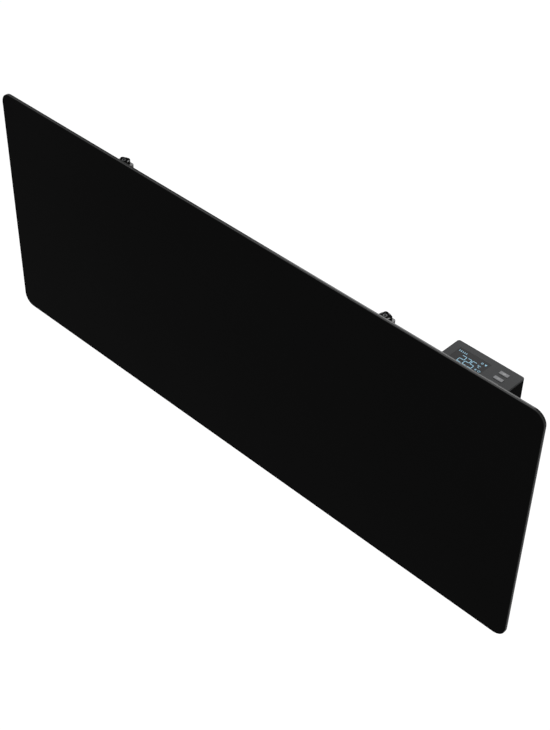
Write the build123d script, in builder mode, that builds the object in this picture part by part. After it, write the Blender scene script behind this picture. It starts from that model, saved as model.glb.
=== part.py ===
from build123d import *
import os

# Infrared panel heater: a frameless glass panel that hangs on two wall hooks, with a clamping knob
# on top of each rear rail and a control box behind its upper right corner.
#
# Frame: +X to the heater's right end as seen from the room, +Y into the wall, +Z up.
# Origin: on the wall, in the middle of the four wall screws. All sizes are in millimetres.

os.makedirs("parts", exist_ok=True)

# ---------------------------------------------------------------- driving dimensions
PANEL_W = 1000.0          # glass panel, width
PANEL_H = 400.0           # glass panel, height
PANE_T = 2.4              # each of the two panes
FILM_T = 0.2              # heating film between the panes
CORNER_R = 18.5           # panel corners
ARRIS = 0.45              # ground edge of the glass
STANDOFF = 60.0           # wall to the front of the glass
PANEL_TOP = 88.0          # top edge of the glass above the middle of the wall screws

HOOK_X = 244.0            # each rail, hook and knob from the middle of the heater
SCREW_PITCH = 36.0        # the two screws of one wall hook
SCREW_HOLE_R = 2.75       # clearance for a 5 mm wall screw

RAIL_W = 20.0             # hanging rail, across its back
RAIL_T = 1.5              # its sheet
RAIL_LEN = 320.0
RAIL_TOP = 70.7           # 17.3 below the top edge of the glass
RAIL_BACK = -32.2         # the rail's back, from the wall
BOND_T = 0.8              # adhesive strip under the rail's feet

BOX_W = 101.0             # control box
BOX_DEPTH = 49.5
BOX_H = 130.0
BOX_X = 380.5             # its middle
BOX_BACK = -2.5           # gap to the wall
BOX_TOP = 68.0            # 20 below the top edge of the glass
BOX_WALL = 2.2
FASCIA_T = 2.0            # top face with the display and the keys

WINDOW_W = 47.3           # display window
WINDOW_D = 28.6
WINDOW_INSET = 11.3       # from the left side of the box
KEY_W = 13.4
KEY_D = 5.9
KEY_INSET = 21.4          # middle of the keys to the right side of the box
KEY_PITCH = 11.4
KEY_TRAVEL = 0.6

KNOB_TOP = 78.2           # clamping knob
KNOB_R = 9.2              # over the lobes
KNOB_LOBES = 4
KNOB_Y = -42.5            # spindle axis from the wall
SPINDLE_R = 2.5
RUNNING_FIT = 0.05        # radial clearance of the spindle in its bush and jaw

# ---------------------------------------------------------------- worked out from them
PANEL_FRONT = -STANDOFF
FILM_FRONT = PANEL_FRONT + PANE_T
FILM_BACK = FILM_FRONT + FILM_T
PANEL_BACK = FILM_BACK + PANE_T
PANEL_MID = PANEL_TOP - PANEL_H / 2
PANEL_BOTTOM = PANEL_TOP - PANEL_H
BOX_FRONT = BOX_BACK - BOX_DEPTH
BOX_Y = (BOX_BACK + BOX_FRONT) / 2
BOX_BOTTOM = BOX_TOP - BOX_H
COVER_TOP = BOX_TOP - FASCIA_T
WINDOW_X = BOX_X - BOX_W / 2 + WINDOW_INSET + WINDOW_W / 2
KEY_X = BOX_X + BOX_W / 2 - KEY_INSET
SIDES = {"left": -1, "right": 1}

SLIDE_FIT = 0.1           # between pieces that go into each other
SCREW_SIDES = 8           # small screws and their pilot holes
WELL_SIDES = 16           # screw wells
HEXAGON = 6


# ---------------------------------------------------------------- helpers
def facing(y):
    """Plane across the heater at depth y; its normal points into the room, local x, y are X, Z."""
    return Plane.XZ.offset(-y)


def backing(y):
    """Plane across the heater at depth y; its normal points to the wall, local x, y are -X, Z."""
    return Plane(origin=(0, y, 0), x_dir=(-1, 0, 0), z_dir=(0, 1, 0))


def level(z):
    """Horizontal plane at height z; local x, y are X, Y."""
    return Plane.XY.offset(z)


def save(piece, label):
    """Label a finished piece and write its file."""
    piece.part.label = label
    export_step(piece.part, f"parts/{label}.step")


# ================================================================ glass panel
LEAD_HOLES = ((395.0, 53.0), (423.5, -20.0))    # X, Z where the film's leads leave the glass
LEAD_HOLE_R = 3.0


def glass_pane(front, outer_face, holes=()):
    """One pane; outer_face picks which large face has the ground edge: 0 the room side, -1 the wall side."""
    with BuildPart() as pane:
        with BuildSketch(facing(front)):
            with Locations((0, PANEL_MID)):
                RectangleRounded(PANEL_W, PANEL_H, CORNER_R)
            for hole in holes:
                with Locations(hole):
                    Circle(LEAD_HOLE_R, mode=Mode.SUBTRACT)
        extrude(amount=-PANE_T)
        rim = pane.faces().sort_by(Axis.Y)[outer_face].outer_wire()
        chamfer(rim.edges(), ARRIS)
    return pane


front_glass = glass_pane(PANEL_FRONT, 0)
save(front_glass, "front_glass")

rear_glass = glass_pane(FILM_BACK, -1, LEAD_HOLES)
save(rear_glass, "rear_glass")

# The film stack: a carbon film between two copper busbars. The lower bar comes back up the right edge
# and its tail ends in a notch of the film, behind the control box.
FILM_LEFT = -480.0
FILM_RIGHT = 480.0
FILM_TOP = 58.0
FILM_BOTTOM = PANEL_BOTTOM + 20.0
BAR_H = 10.0
RISER_W = 8.0
STACK_RIGHT = 490.0
TAIL_LEFT = 418.0
TAIL_Z = LEAD_HOLES[1][1]
NOTCH_GAP = 6.0                                    # film to the end of the tail
SEAL_INSET = 0.6                                   # edge seal inside the glass edge


def film_rectangle(left, right, bottom, top, mode=Mode.ADD):
    """Rectangle in the current film sketch, given by its four sides."""
    with Locations(((left + right) / 2, (bottom + top) / 2)):
        Rectangle(right - left, top - bottom, mode=mode)


with BuildPart() as heating_film:
    with BuildSketch(facing(FILM_FRONT)):
        film_rectangle(FILM_LEFT, FILM_RIGHT, FILM_BOTTOM + BAR_H, FILM_TOP - BAR_H)
        film_rectangle(TAIL_LEFT - NOTCH_GAP, FILM_RIGHT, TAIL_Z - RISER_W, TAIL_Z + RISER_W, Mode.SUBTRACT)
    extrude(amount=-FILM_T)
save(heating_film, "heating_film")

with BuildPart() as busbar_upper:
    with BuildSketch(facing(FILM_FRONT)):
        film_rectangle(FILM_LEFT, FILM_RIGHT, FILM_TOP - BAR_H, FILM_TOP)
    extrude(amount=-FILM_T)
save(busbar_upper, "busbar_upper")

with BuildPart() as busbar_lower:
    with BuildSketch(facing(FILM_FRONT)):
        film_rectangle(FILM_LEFT, STACK_RIGHT, FILM_BOTTOM, FILM_BOTTOM + BAR_H)
        film_rectangle(STACK_RIGHT - RISER_W, STACK_RIGHT, FILM_BOTTOM, TAIL_Z + RISER_W / 2)
        film_rectangle(TAIL_LEFT, STACK_RIGHT, TAIL_Z - RISER_W / 2, TAIL_Z + RISER_W / 2)
    extrude(amount=-FILM_T)
save(busbar_lower, "busbar_lower")

with BuildPart() as edge_seal:
    with BuildSketch(facing(FILM_FRONT)):
        with Locations((0, PANEL_MID)):
            RectangleRounded(PANEL_W - 2 * SEAL_INSET, PANEL_H - 2 * SEAL_INSET, CORNER_R - SEAL_INSET)
        film_rectangle(FILM_LEFT, STACK_RIGHT, FILM_BOTTOM, FILM_TOP, Mode.SUBTRACT)
    extrude(amount=-FILM_T)
save(edge_seal, "edge_seal")

# ================================================================ hanging rails
RAIL_FOOT = 45.0                                   # across both feet
RAIL_FRONT = PANEL_BACK + BOND_T
RAIL_DEPTH = RAIL_BACK - RAIL_FRONT
RAIL_FOLD_R = 2.5
FLANGE_T = 2.0
BUSH_R = 4.0
WINDOW_TOP = 31.0                                  # the rail rests on the hook here
WINDOW_BOTTOM = 18.0
HOOK_W = 12.0
HOOK_PLAY = 0.5                                    # between the hook and each side of the window
SPACER_Z = -220.0
SPACER_SCREW_R = 2.5
BOND_INSET = 1.0                                   # bond strip inside the edges of a foot


def hanging_rail(x):
    """Folded hat section with a flange over its top, a window for the hook and a spacer hole."""
    inner = RAIL_W / 2 - RAIL_T
    outer = RAIL_W / 2
    foot = RAIL_FOOT / 2
    with BuildPart() as rail:
        with BuildSketch(Plane(origin=(x, RAIL_FRONT, RAIL_TOP - RAIL_LEN))) as hat:
            with BuildLine():
                Polyline(
                    (-foot, 0), (-inner, 0), (-inner, RAIL_DEPTH - RAIL_T), (inner, RAIL_DEPTH - RAIL_T),
                    (inner, 0), (foot, 0), (foot, RAIL_T), (outer, RAIL_T), (outer, RAIL_DEPTH),
                    (-outer, RAIL_DEPTH), (-outer, RAIL_T), (-foot, RAIL_T), close=True,
                )
            make_face()
            back_corners = hat.vertices().group_by(Axis.Y)[-1]
            foot_bends = hat.vertices().group_by(Axis.Y)[0].sort_by(Axis.X)[1:3]
            fillet(back_corners + foot_bends, RAIL_FOLD_R)
            inner_bends = hat.vertices().filter_by(
                lambda v: abs(abs(v.X) - inner) < 0.01 and v.Y > RAIL_DEPTH / 2
            )
            outer_bends = hat.vertices().filter_by(
                lambda v: abs(abs(v.X) - outer) < 0.01 and v.Y < RAIL_DEPTH / 2
            )
            fillet(inner_bends + outer_bends, RAIL_FOLD_R - RAIL_T)
        extrude(amount=RAIL_LEN)
        with BuildSketch(level(RAIL_TOP - FLANGE_T)) as flange:
            with Locations((x, RAIL_BACK - RAIL_DEPTH / 2)):
                Rectangle(RAIL_W, RAIL_DEPTH)
            fillet(flange.vertices().group_by(Axis.Y)[-1], RAIL_FOLD_R)
        extrude(amount=FLANGE_T)
        with Locations((x, KNOB_Y, RAIL_TOP)):
            Hole(BUSH_R, depth=FLANGE_T)
        with BuildSketch(backing(RAIL_BACK)):
            with Locations((-x, (WINDOW_TOP + WINDOW_BOTTOM) / 2)):
                Rectangle(HOOK_W + 2 * HOOK_PLAY, WINDOW_TOP - WINDOW_BOTTOM)
            with Locations((-x, SPACER_Z)):
                Circle(SPACER_SCREW_R + SLIDE_FIT)
        extrude(amount=-RAIL_T, mode=Mode.SUBTRACT)
    return rail


def rail_bond(x):
    """Two adhesive strips, one under each foot."""
    strip_w = (RAIL_FOOT - RAIL_W) / 2 - BOND_INSET
    with BuildPart() as bond:
        with BuildSketch(facing(PANEL_BACK)):
            with Locations((x, RAIL_TOP - RAIL_LEN / 2)):
                with GridLocations(RAIL_FOOT - strip_w - BOND_INSET, 1, 2, 1):
                    Rectangle(strip_w, RAIL_LEN - 4 * BOND_INSET)
        extrude(amount=-BOND_T)
    return bond


# ================================================================ wall hooks
HOOK_T = 3.0
PLATE_W = 44.0
PLATE_BOTTOM = -28.0
PLATE_CORNER_R = 5.0
TONGUE_TOP = 37.0
TONGUE_EDGE_R = 0.8
WEB_FRONT = RAIL_BACK - RAIL_T                     # inner face of the rail's back
GUSSET_FRONT = -26.0                               # welded gusset under the arm
GUSSET_BOTTOM = 2.0
GUSSET_LIP = 26.0
GUSSET_BITE = 0.5                                  # into the arm, where it is welded
GUSSET_TOP = WINDOW_TOP - HOOK_T + GUSSET_BITE


def wall_hook(x):
    """Wall plate with a gusset and an arm; its tongue stands up behind the rail's back."""
    with BuildPart() as hook:
        with BuildSketch(facing(0)):
            with Locations((x, (WINDOW_TOP + PLATE_BOTTOM) / 2)):
                RectangleRounded(PLATE_W, WINDOW_TOP - PLATE_BOTTOM, PLATE_CORNER_R)
        extrude(amount=HOOK_T)
        with BuildSketch(Plane.YZ.offset(x - HOOK_W / 2)) as arm:
            with BuildLine():
                Polyline(
                    (-HOOK_T, WINDOW_TOP - HOOK_T), (WEB_FRONT - HOOK_T, WINDOW_TOP - HOOK_T),
                    (WEB_FRONT - HOOK_T, TONGUE_TOP), (WEB_FRONT, TONGUE_TOP), (WEB_FRONT, WINDOW_TOP),
                    (-HOOK_T, WINDOW_TOP), close=True,
                )
            make_face()
            fillet(arm.vertices().group_by(Axis.X)[0].sort_by(Axis.Y)[0], HOOK_T)
            fillet(arm.vertices().group_by(Axis.Y)[-1], TONGUE_EDGE_R)
        extrude(amount=HOOK_W)
        with BuildSketch(Plane.YZ.offset(x - HOOK_T / 2)):
            with BuildLine():
                Polyline(
                    (-HOOK_T, GUSSET_BOTTOM), (-HOOK_T, GUSSET_TOP), (GUSSET_FRONT, GUSSET_TOP),
                    (GUSSET_FRONT, GUSSET_LIP), close=True,
                )
            make_face()
        extrude(amount=HOOK_T)
        with Locations(facing(-HOOK_T)):
            with Locations((x, SCREW_PITCH / 2), (x, -SCREW_PITCH / 2)):
                Hole(SCREW_HOLE_R, depth=HOOK_T)
    return hook


# ================================================================ lower spacers
SPACER_R = 8.5                                     # over the corners of its hexagon
BUMPER_T = 5.0
BUMPER_R = 10.0
BUMPER_EDGE = 1.2
SPIGOT_R = 4.0
SPIGOT_LEN = 2.5
SPACER_SCREW_LEN = 15.0                            # from the rail's inner face
SPACER_SCREW_HEAD_R = 4.5
SPACER_SCREW_HEAD_H = 3.0


def lower_spacer(x):
    """Hexagonal post from the rail to the bumper, with a round spigot at its wall end."""
    with BuildPart() as post:
        with BuildSketch(backing(RAIL_BACK)):
            with Locations((-x, SPACER_Z)):
                RegularPolygon(SPACER_R, HEXAGON)
        extrude(amount=-RAIL_BACK - BUMPER_T)
        with BuildSketch(backing(-BUMPER_T)):
            with Locations((-x, SPACER_Z)):
                Circle(SPIGOT_R)
        extrude(amount=SPIGOT_LEN)
        with BuildSketch(backing(RAIL_BACK)):
            with Locations((-x, SPACER_Z)):
                RegularPolygon(SPACER_SCREW_R, SCREW_SIDES)
        extrude(amount=SPACER_SCREW_LEN, mode=Mode.SUBTRACT)
    return post


def bumper(x):
    """Rubber foot against the wall, pressed over the spacer's spigot."""
    with BuildPart() as foot:
        with BuildSketch(backing(-BUMPER_T)):
            with Locations((-x, SPACER_Z)):
                Circle(BUMPER_R)
        extrude(amount=BUMPER_T)
        chamfer(foot.edges().group_by(Axis.Y)[-1], BUMPER_EDGE)
        with Locations(facing(-BUMPER_T)):
            with Locations((x, SPACER_Z)):
                Hole(SPIGOT_R, depth=SPIGOT_LEN)
    return foot


with BuildPart() as spacer_screws:
    for side in SIDES.values():
        with BuildSketch(facing(WEB_FRONT)):
            with Locations((side * HOOK_X, SPACER_Z)):
                RegularPolygon(SPACER_SCREW_HEAD_R, SCREW_SIDES)
        extrude(amount=SPACER_SCREW_HEAD_H)
        with BuildSketch(facing(WEB_FRONT)):
            with Locations((side * HOOK_X, SPACER_Z)):
                RegularPolygon(SPACER_SCREW_R, SCREW_SIDES)
        extrude(amount=-SPACER_SCREW_LEN)
    chamfer(spacer_screws.edges().group_by(Axis.Y)[0], SPACER_SCREW_HEAD_H / 3)
save(spacer_screws, "spacer_screws")

# ================================================================ clamps
# Each knob turns a captive spindle that runs in a bush in the rail's flange. Its thread draws a jaw up
# under the hook's arm, which locks the heater on the wall; turned the other way, it lets the jaw down.
END_PLAY = 0.3                                     # of the spindle in its bush, up and down
KNOB_BOTTOM = RAIL_TOP + END_PLAY
LOBE_R = 3.6
KNOB_CORE_R = 6.5
WAIST_R = 2.0                                      # hollows between the lobes
KNOB_EDGE = 0.9
KNOB_PHASE = {"left": 67.0, "right": 31.0}         # where the first lobe points, in degrees
HEAD_R = 2.9
HEAD_BOTTOM = KNOB_TOP - 1.0
HEAD_TOP = KNOB_TOP + 0.3
BUSH_PROUD = 1.2                                   # below the flange
CLIP_T = 0.8
CLIP_R = 4.8
CLIP_MOUTH = 3.0
CLIP_TOP = RAIL_TOP - FLANGE_T - BUSH_PROUD - END_PLAY
GROOVE_DEPTH = 0.4
GROOVE_R = SPINDLE_R - GROOVE_DEPTH
SPINDLE_END = 12.0
JAW_H = 7.0
JAW_TOP = WINDOW_TOP - HOOK_T - SLIDE_FIT
JAW_PLAY = 0.7                                     # to each wall of the rail
JAW_W = RAIL_W - 2 * RAIL_T - 2 * JAW_PLAY
JAW_BACK = WEB_FRONT - JAW_PLAY / 2
JAW_OVERHANG = 6.0                                 # in front of the spindle
JAW_FRONT = KNOB_Y - JAW_OVERHANG
JAW_CORNER_R = 1.2
JAW_NOSE = 2.0


def clamp_knob(x, phase):
    """Four-lobed moulded knob with a sunk hollow for the spindle's head."""
    with BuildPart() as knob:
        with BuildSketch(level(KNOB_BOTTOM)) as plan:
            with Locations((x, KNOB_Y)):
                Circle(KNOB_CORE_R)
                with PolarLocations(KNOB_R - LOBE_R, KNOB_LOBES, start_angle=phase):
                    Circle(LOBE_R)
            fillet(plan.vertices(), WAIST_R)
        extrude(amount=KNOB_TOP - KNOB_BOTTOM)
        chamfer(knob.edges().group_by(Axis.Z)[-1], KNOB_EDGE)
        with Locations((x, KNOB_Y, KNOB_TOP)):
            CounterBoreHole(SPINDLE_R, HEAD_R, KNOB_TOP - HEAD_BOTTOM, depth=KNOB_TOP - KNOB_BOTTOM)
    return knob


def clamp_spindle(x):
    """Shaft with a flat head in the knob and a groove for the clip."""
    with BuildPart() as spindle:
        with BuildSketch(facing(KNOB_Y)):
            with BuildLine():
                Polyline(
                    (x, SPINDLE_END), (x + SPINDLE_R, SPINDLE_END), (x + SPINDLE_R, CLIP_TOP - CLIP_T),
                    (x + GROOVE_R, CLIP_TOP - CLIP_T), (x + GROOVE_R, CLIP_TOP), (x + SPINDLE_R, CLIP_TOP),
                    (x + SPINDLE_R, HEAD_BOTTOM), (x + HEAD_R, HEAD_BOTTOM), (x + HEAD_R, HEAD_TOP),
                    (x, HEAD_TOP), close=True,
                )
            make_face()
        revolve(axis=Axis((x, KNOB_Y, 0), (0, 0, 1)))
    return spindle


def spindle_clip(x):
    """Open retaining ring in the spindle's groove."""
    with BuildPart() as clip:
        with BuildSketch(level(CLIP_TOP - CLIP_T)):
            with Locations((x, KNOB_Y)):
                Circle(CLIP_R)
                Circle(GROOVE_R, mode=Mode.SUBTRACT)
            with Locations((x, KNOB_Y - CLIP_R)):
                Rectangle(CLIP_MOUTH, CLIP_R + GROOVE_R / 2, mode=Mode.SUBTRACT)
        extrude(amount=CLIP_T)
    return clip


def spindle_bush(x):
    """Plain bush, pressed into the rail's flange and a little proud below it."""
    with BuildPart() as bush:
        with BuildSketch(level(RAIL_TOP - FLANGE_T - BUSH_PROUD)):
            with Locations((x, KNOB_Y)):
                Circle(BUSH_R)
                Circle(SPINDLE_R + RUNNING_FIT, mode=Mode.SUBTRACT)
        extrude(amount=FLANGE_T + BUSH_PROUD)
    return bush


def clamp_jaw(x):
    """Block on the spindle's thread, kept from turning by the rail's walls; its nose goes under the arm."""
    with BuildPart() as jaw:
        with BuildSketch(level(JAW_TOP - JAW_H)) as plan:
            with Locations((x, (JAW_FRONT + JAW_BACK) / 2)):
                Rectangle(JAW_W, JAW_BACK - JAW_FRONT)
            fillet(plan.vertices().group_by(Axis.Y)[0], JAW_CORNER_R)
        extrude(amount=JAW_H)
        nose = jaw.edges().group_by(Axis.Z)[0].sort_by(Axis.Y)[-1]
        chamfer(nose, JAW_NOSE)
        with Locations((x, KNOB_Y, JAW_TOP)):
            Hole(SPINDLE_R + RUNNING_FIT, depth=JAW_H)
    return jaw


for name, side in SIDES.items():
    at = side * HOOK_X
    save(hanging_rail(at), f"hanging_rail_{name}")
    save(rail_bond(at), f"rail_bond_{name}")
    save(wall_hook(at), f"wall_hook_{name}")
    save(lower_spacer(at), f"lower_spacer_{name}")
    save(bumper(at), f"bumper_{name}")
    save(spindle_bush(at), f"spindle_bush_{name}")
    save(clamp_knob(at, KNOB_PHASE[name]), f"clamp_knob_{name}")
    save(clamp_spindle(at), f"clamp_spindle_{name}")
    save(spindle_clip(at), f"spindle_clip_{name}")
    save(clamp_jaw(at), f"clamp_jaw_{name}")

# ================================================================ control box
BASE_BOND_T = 1.0
BASE_T = 2.0
BASE_BACK = BOX_FRONT                               # the cover's open side meets the base here
BASE_FRONT = BASE_BACK - BASE_T
BOSS = 9.0                                          # square, round the screws of the cover
BOSS_X = 43.0                                       # cover bosses, from the box's middle
BOSS_Z = (-50.0, 46.0)
BOSS_SPOTS = [(-BOX_X + s * BOSS_X, z) for s in (-1, 1) for z in BOSS_Z]
BOSS_END = -46.0                                    # where cover bosses meet base posts
BOARD_FRONT = -46.4                                 # power board
BOARD_T = 1.6
BOARD_W = 74.0
BOARD_BOTTOM = -49.0
BOARD_TOP = 33.0
BOARD_POST_X = 33.0
BOARD_POST_Z = (-44.0, 28.0)
BOARD_POST = 6.0                                    # square
BOARD_SCREW_SPOTS = ((-BOX_X - BOARD_POST_X, BOARD_POST_Z[1]), (-BOX_X + BOARD_POST_X, BOARD_POST_Z[0]))
CUTOUT_Z = 8.0                                      # thermal cut-out on the glass
CUTOUT_R = 8.0
RIB_T = 1.2                                         # rib that centres the cover, open at the top
RIB_H = 2.0
RIB_BOTTOM = BOX_BOTTOM + BOX_WALL + SLIDE_FIT
RIB_TOP = 60.0
PILOT_R = 1.4
WELL_R = 3.3                                        # screw wells in the cover's back
WELL_DEPTH = 30.0
SCREW_ROOM = 0.3                                    # round the shank of a cover screw
INNER_X = BOX_W / 2 - BOX_WALL                      # half the cover's inner width
BASE_INSET = 1.0
BASE_CORNER_R = 3.0
CUTOUT_ROOM = 1.5                                   # round the thermal cut-out
LEAD_ROOM = 0.5                                     # round a lead hole of the glass
BOND_W = 3.0                                        # bond ring, and its distance from the cover's outline

with BuildPart() as base_bond:
    with BuildSketch(facing(PANEL_BACK)):
        with Locations((BOX_X, (BOX_BOTTOM + COVER_TOP) / 2)):
            Rectangle(BOX_W - 2 * BOND_W, COVER_TOP - BOX_BOTTOM - 2 * BOND_W)
            Rectangle(BOX_W - 4 * BOND_W, COVER_TOP - BOX_BOTTOM - 4 * BOND_W, mode=Mode.SUBTRACT)
    extrude(amount=-BASE_BOND_T)
save(base_bond, "base_bond")

with BuildPart() as control_base:
    with BuildSketch(facing(BASE_FRONT)):
        with Locations((BOX_X, (BOX_BOTTOM + COVER_TOP) / 2)):
            RectangleRounded(BOX_W - 2 * BASE_INSET, COVER_TOP - BOX_BOTTOM - 2 * BASE_INSET, BASE_CORNER_R)
    extrude(amount=-BASE_T)
    with BuildSketch(backing(BASE_BACK)) as rib:
        with Locations((-BOX_X, (RIB_BOTTOM + RIB_TOP) / 2)):
            Rectangle(2 * (INNER_X - SLIDE_FIT), RIB_TOP - RIB_BOTTOM)
        fillet(rib.vertices().group_by(Axis.Y)[0], RIB_T)
        with Locations((-BOX_X, (RIB_BOTTOM + RIB_TOP) / 2 + RIB_T)):
            Rectangle(2 * (INNER_X - SLIDE_FIT - RIB_T), RIB_TOP - RIB_BOTTOM, mode=Mode.SUBTRACT)
    extrude(amount=RIB_H)
    with BuildSketch(backing(BASE_BACK)):
        with Locations(*BOSS_SPOTS):
            Rectangle(BOSS, BOSS)
    extrude(amount=BOSS_END - BASE_BACK)
    with BuildSketch(backing(BASE_BACK)):
        for z in BOARD_POST_Z:
            with Locations((-BOX_X - BOARD_POST_X, z), (-BOX_X + BOARD_POST_X, z)):
                Rectangle(BOARD_POST, BOARD_POST)
    extrude(amount=BOARD_FRONT - BASE_BACK)
    with BuildSketch(backing(BASE_BACK)):
        with Locations(*BOSS_SPOTS, *BOARD_SCREW_SPOTS):
            RegularPolygon(PILOT_R, SCREW_SIDES)
    extrude(amount=BOSS_END - BASE_BACK, mode=Mode.SUBTRACT)
    with Locations(backing(BASE_BACK)):
        with Locations((-BOX_X, CUTOUT_Z)):
            Hole(CUTOUT_R + CUTOUT_ROOM, depth=BASE_T)
        with Locations(*[(-hole_x, hole_z) for hole_x, hole_z in LEAD_HOLES]):
            Hole(LEAD_HOLE_R + LEAD_ROOM, depth=BASE_T)
save(control_base, "control_base")

# Cover: one moulding, open to the glass and at the top, with four deep screw wells, ribbed bosses,
# louvres in its back and the cut-outs of the gland, the rocker switch and the room sensor below.
GLAND_X = BOX_X - 25.0
GLAND_THREAD_R = 8.0
ROCKER_X = BOX_X + 21.5
ROCKER_CUT_W = 19.4
ROCKER_CUT_D = 13.2
SENSOR_Y = -12.0
SENSOR_SLOT_PITCH = 3.2
SENSOR_SLOT_LEN = 10.0
COVER_INNER_BACK = BOX_BACK - BOX_WALL
COVER_INNER_BOTTOM = BOX_BOTTOM + BOX_WALL
COVER_EDGE_R = 3.5                                  # upright edges against the wall
COVER_FOOT = 1.2                                    # bevel round the bottom
LOUVRE_W = 32.0
LOUVRE_H = 2.2
LOUVRE_PITCH = 5.5
LOUVRE_COLUMNS = 38.0
LOUVRE_BANKS = ((16.0, 8), (-36.0, 4))              # middle height and rows of each bank
BOSS_WEB_T = 1.5

with BuildPart() as control_cover:
    with BuildSketch(level(BOX_BOTTOM)) as footprint:
        with Locations((BOX_X, BOX_Y)):
            Rectangle(BOX_W, BOX_DEPTH)
        fillet(footprint.vertices().group_by(Axis.Y)[-1], COVER_EDGE_R)
    extrude(amount=COVER_TOP - BOX_BOTTOM)
    bottom_rim = control_cover.edges().group_by(Axis.Z)[0].sort_by(Axis.Y)[1:]
    chamfer(bottom_rim, COVER_FOOT)
    open_front = control_cover.faces().sort_by(Axis.Y)[0]
    open_top = control_cover.faces().sort_by(Axis.Z)[-1]
    offset(amount=-BOX_WALL, openings=[open_front, open_top])
    with BuildSketch(facing(COVER_INNER_BACK)):
        for boss_x, boss_z in BOSS_SPOTS:
            outward = 1 if -boss_x > BOX_X else -1
            with Locations((-boss_x, boss_z)):
                Rectangle(BOSS, BOSS)
            with Locations((BOX_X + outward * (BOSS_X + INNER_X) / 2, boss_z)):
                Rectangle(INNER_X - BOSS_X, BOSS_WEB_T)
    extrude(amount=COVER_INNER_BACK - BOSS_END)
    with BuildSketch(backing(BOX_BACK)):
        with Locations(*BOSS_SPOTS):
            RegularPolygon(WELL_R, WELL_SIDES)
    extrude(amount=-WELL_DEPTH, mode=Mode.SUBTRACT)
    with BuildSketch(backing(BOX_BACK)):
        with Locations(*BOSS_SPOTS):
            RegularPolygon(PILOT_R + SCREW_ROOM, SCREW_SIDES)
    extrude(amount=BOSS_END - BOX_BACK, mode=Mode.SUBTRACT)
    with BuildSketch(backing(BOX_BACK)):
        for bank_z, rows in LOUVRE_BANKS:
            with Locations((-BOX_X, bank_z)):
                with GridLocations(LOUVRE_COLUMNS, LOUVRE_PITCH, 2, rows):
                    Rectangle(LOUVRE_W, LOUVRE_H)
    extrude(amount=-BOX_WALL, mode=Mode.SUBTRACT)
    with BuildSketch(level(BOX_BOTTOM)):
        with Locations((GLAND_X, BOX_Y)):
            Circle(GLAND_THREAD_R + SLIDE_FIT)
        with Locations((ROCKER_X, BOX_Y)):
            Rectangle(ROCKER_CUT_W, ROCKER_CUT_D)
        with Locations((BOX_X, SENSOR_Y)):
            with GridLocations(SENSOR_SLOT_PITCH, 1, 3, 1):
                Rectangle(SENSOR_SLOT_PITCH / 2, SENSOR_SLOT_LEN)
    extrude(amount=BOX_WALL, mode=Mode.SUBTRACT)
save(control_cover, "control_cover")

SCREW_SEAT = BOX_BACK - WELL_DEPTH
SCREW_HEAD_R = WELL_R - SCREW_ROOM
SCREW_HEAD_H = 2.4
SCREW_TIP = BASE_BACK + 1.5                         # just short of the base plate
with BuildPart() as cover_screws:
    with BuildSketch(backing(SCREW_SEAT)):
        with Locations(*BOSS_SPOTS):
            RegularPolygon(SCREW_HEAD_R, SCREW_SIDES)
            RegularPolygon(SCREW_HEAD_R / 2, HEXAGON, mode=Mode.SUBTRACT)
    extrude(amount=SCREW_HEAD_H)
    with BuildSketch(backing(SCREW_TIP)):
        with Locations(*BOSS_SPOTS):
            RegularPolygon(PILOT_R, SCREW_SIDES)
    extrude(amount=SCREW_SEAT - SCREW_TIP)
save(cover_screws, "cover_screws")

# ---------------------------------------------------------------- fascia, display and keys
KEY_CLEARANCE = 0.3
KEY_PROUD = 0.7
KEY_CORNER_R = 1.0
KEY_EDGE = 0.4
KEY_FLANGE_TOP = COVER_TOP - SLIDE_FIT
KEY_FLANGE_T = 1.2
KEY_FLANGE_RIM = 1.1
FASCIA_EDGE = 0.5
SKIRT_T = 1.2
SKIRT_DEPTH = 4.0
SKIRT_BACK = COVER_INNER_BACK - SLIDE_FIT
SKIRT_D = 46.4
SKIRT_FRONT = SKIRT_BACK - SKIRT_D
DISPLAY_BOARD_DROP = 8.4
DISPLAY_BOARD_TOP = COVER_TOP - DISPLAY_BOARD_DROP
DISPLAY_BOARD_T = 1.6
DISPLAY_BOARD_W = 88.0
DISPLAY_BOARD_D = 44.0
WINDOW_FLANGE_T = 0.8
WINDOW_FLANGE_RIM = 1.7
FASCIA_POST = 5.0                                   # square, under the fascia, for the display board
FASCIA_POST_X = 40.0
FASCIA_POST_Y = 19.5
FASCIA_PILOT_R = 1.1
FASCIA_SCREW_SPOTS = (
    (BOX_X - FASCIA_POST_X, BOX_Y + FASCIA_POST_Y), (BOX_X + FASCIA_POST_X, BOX_Y - FASCIA_POST_Y),
)
KEYS = {"key_power": 1, "key_up": 0, "key_down": -1}

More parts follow.
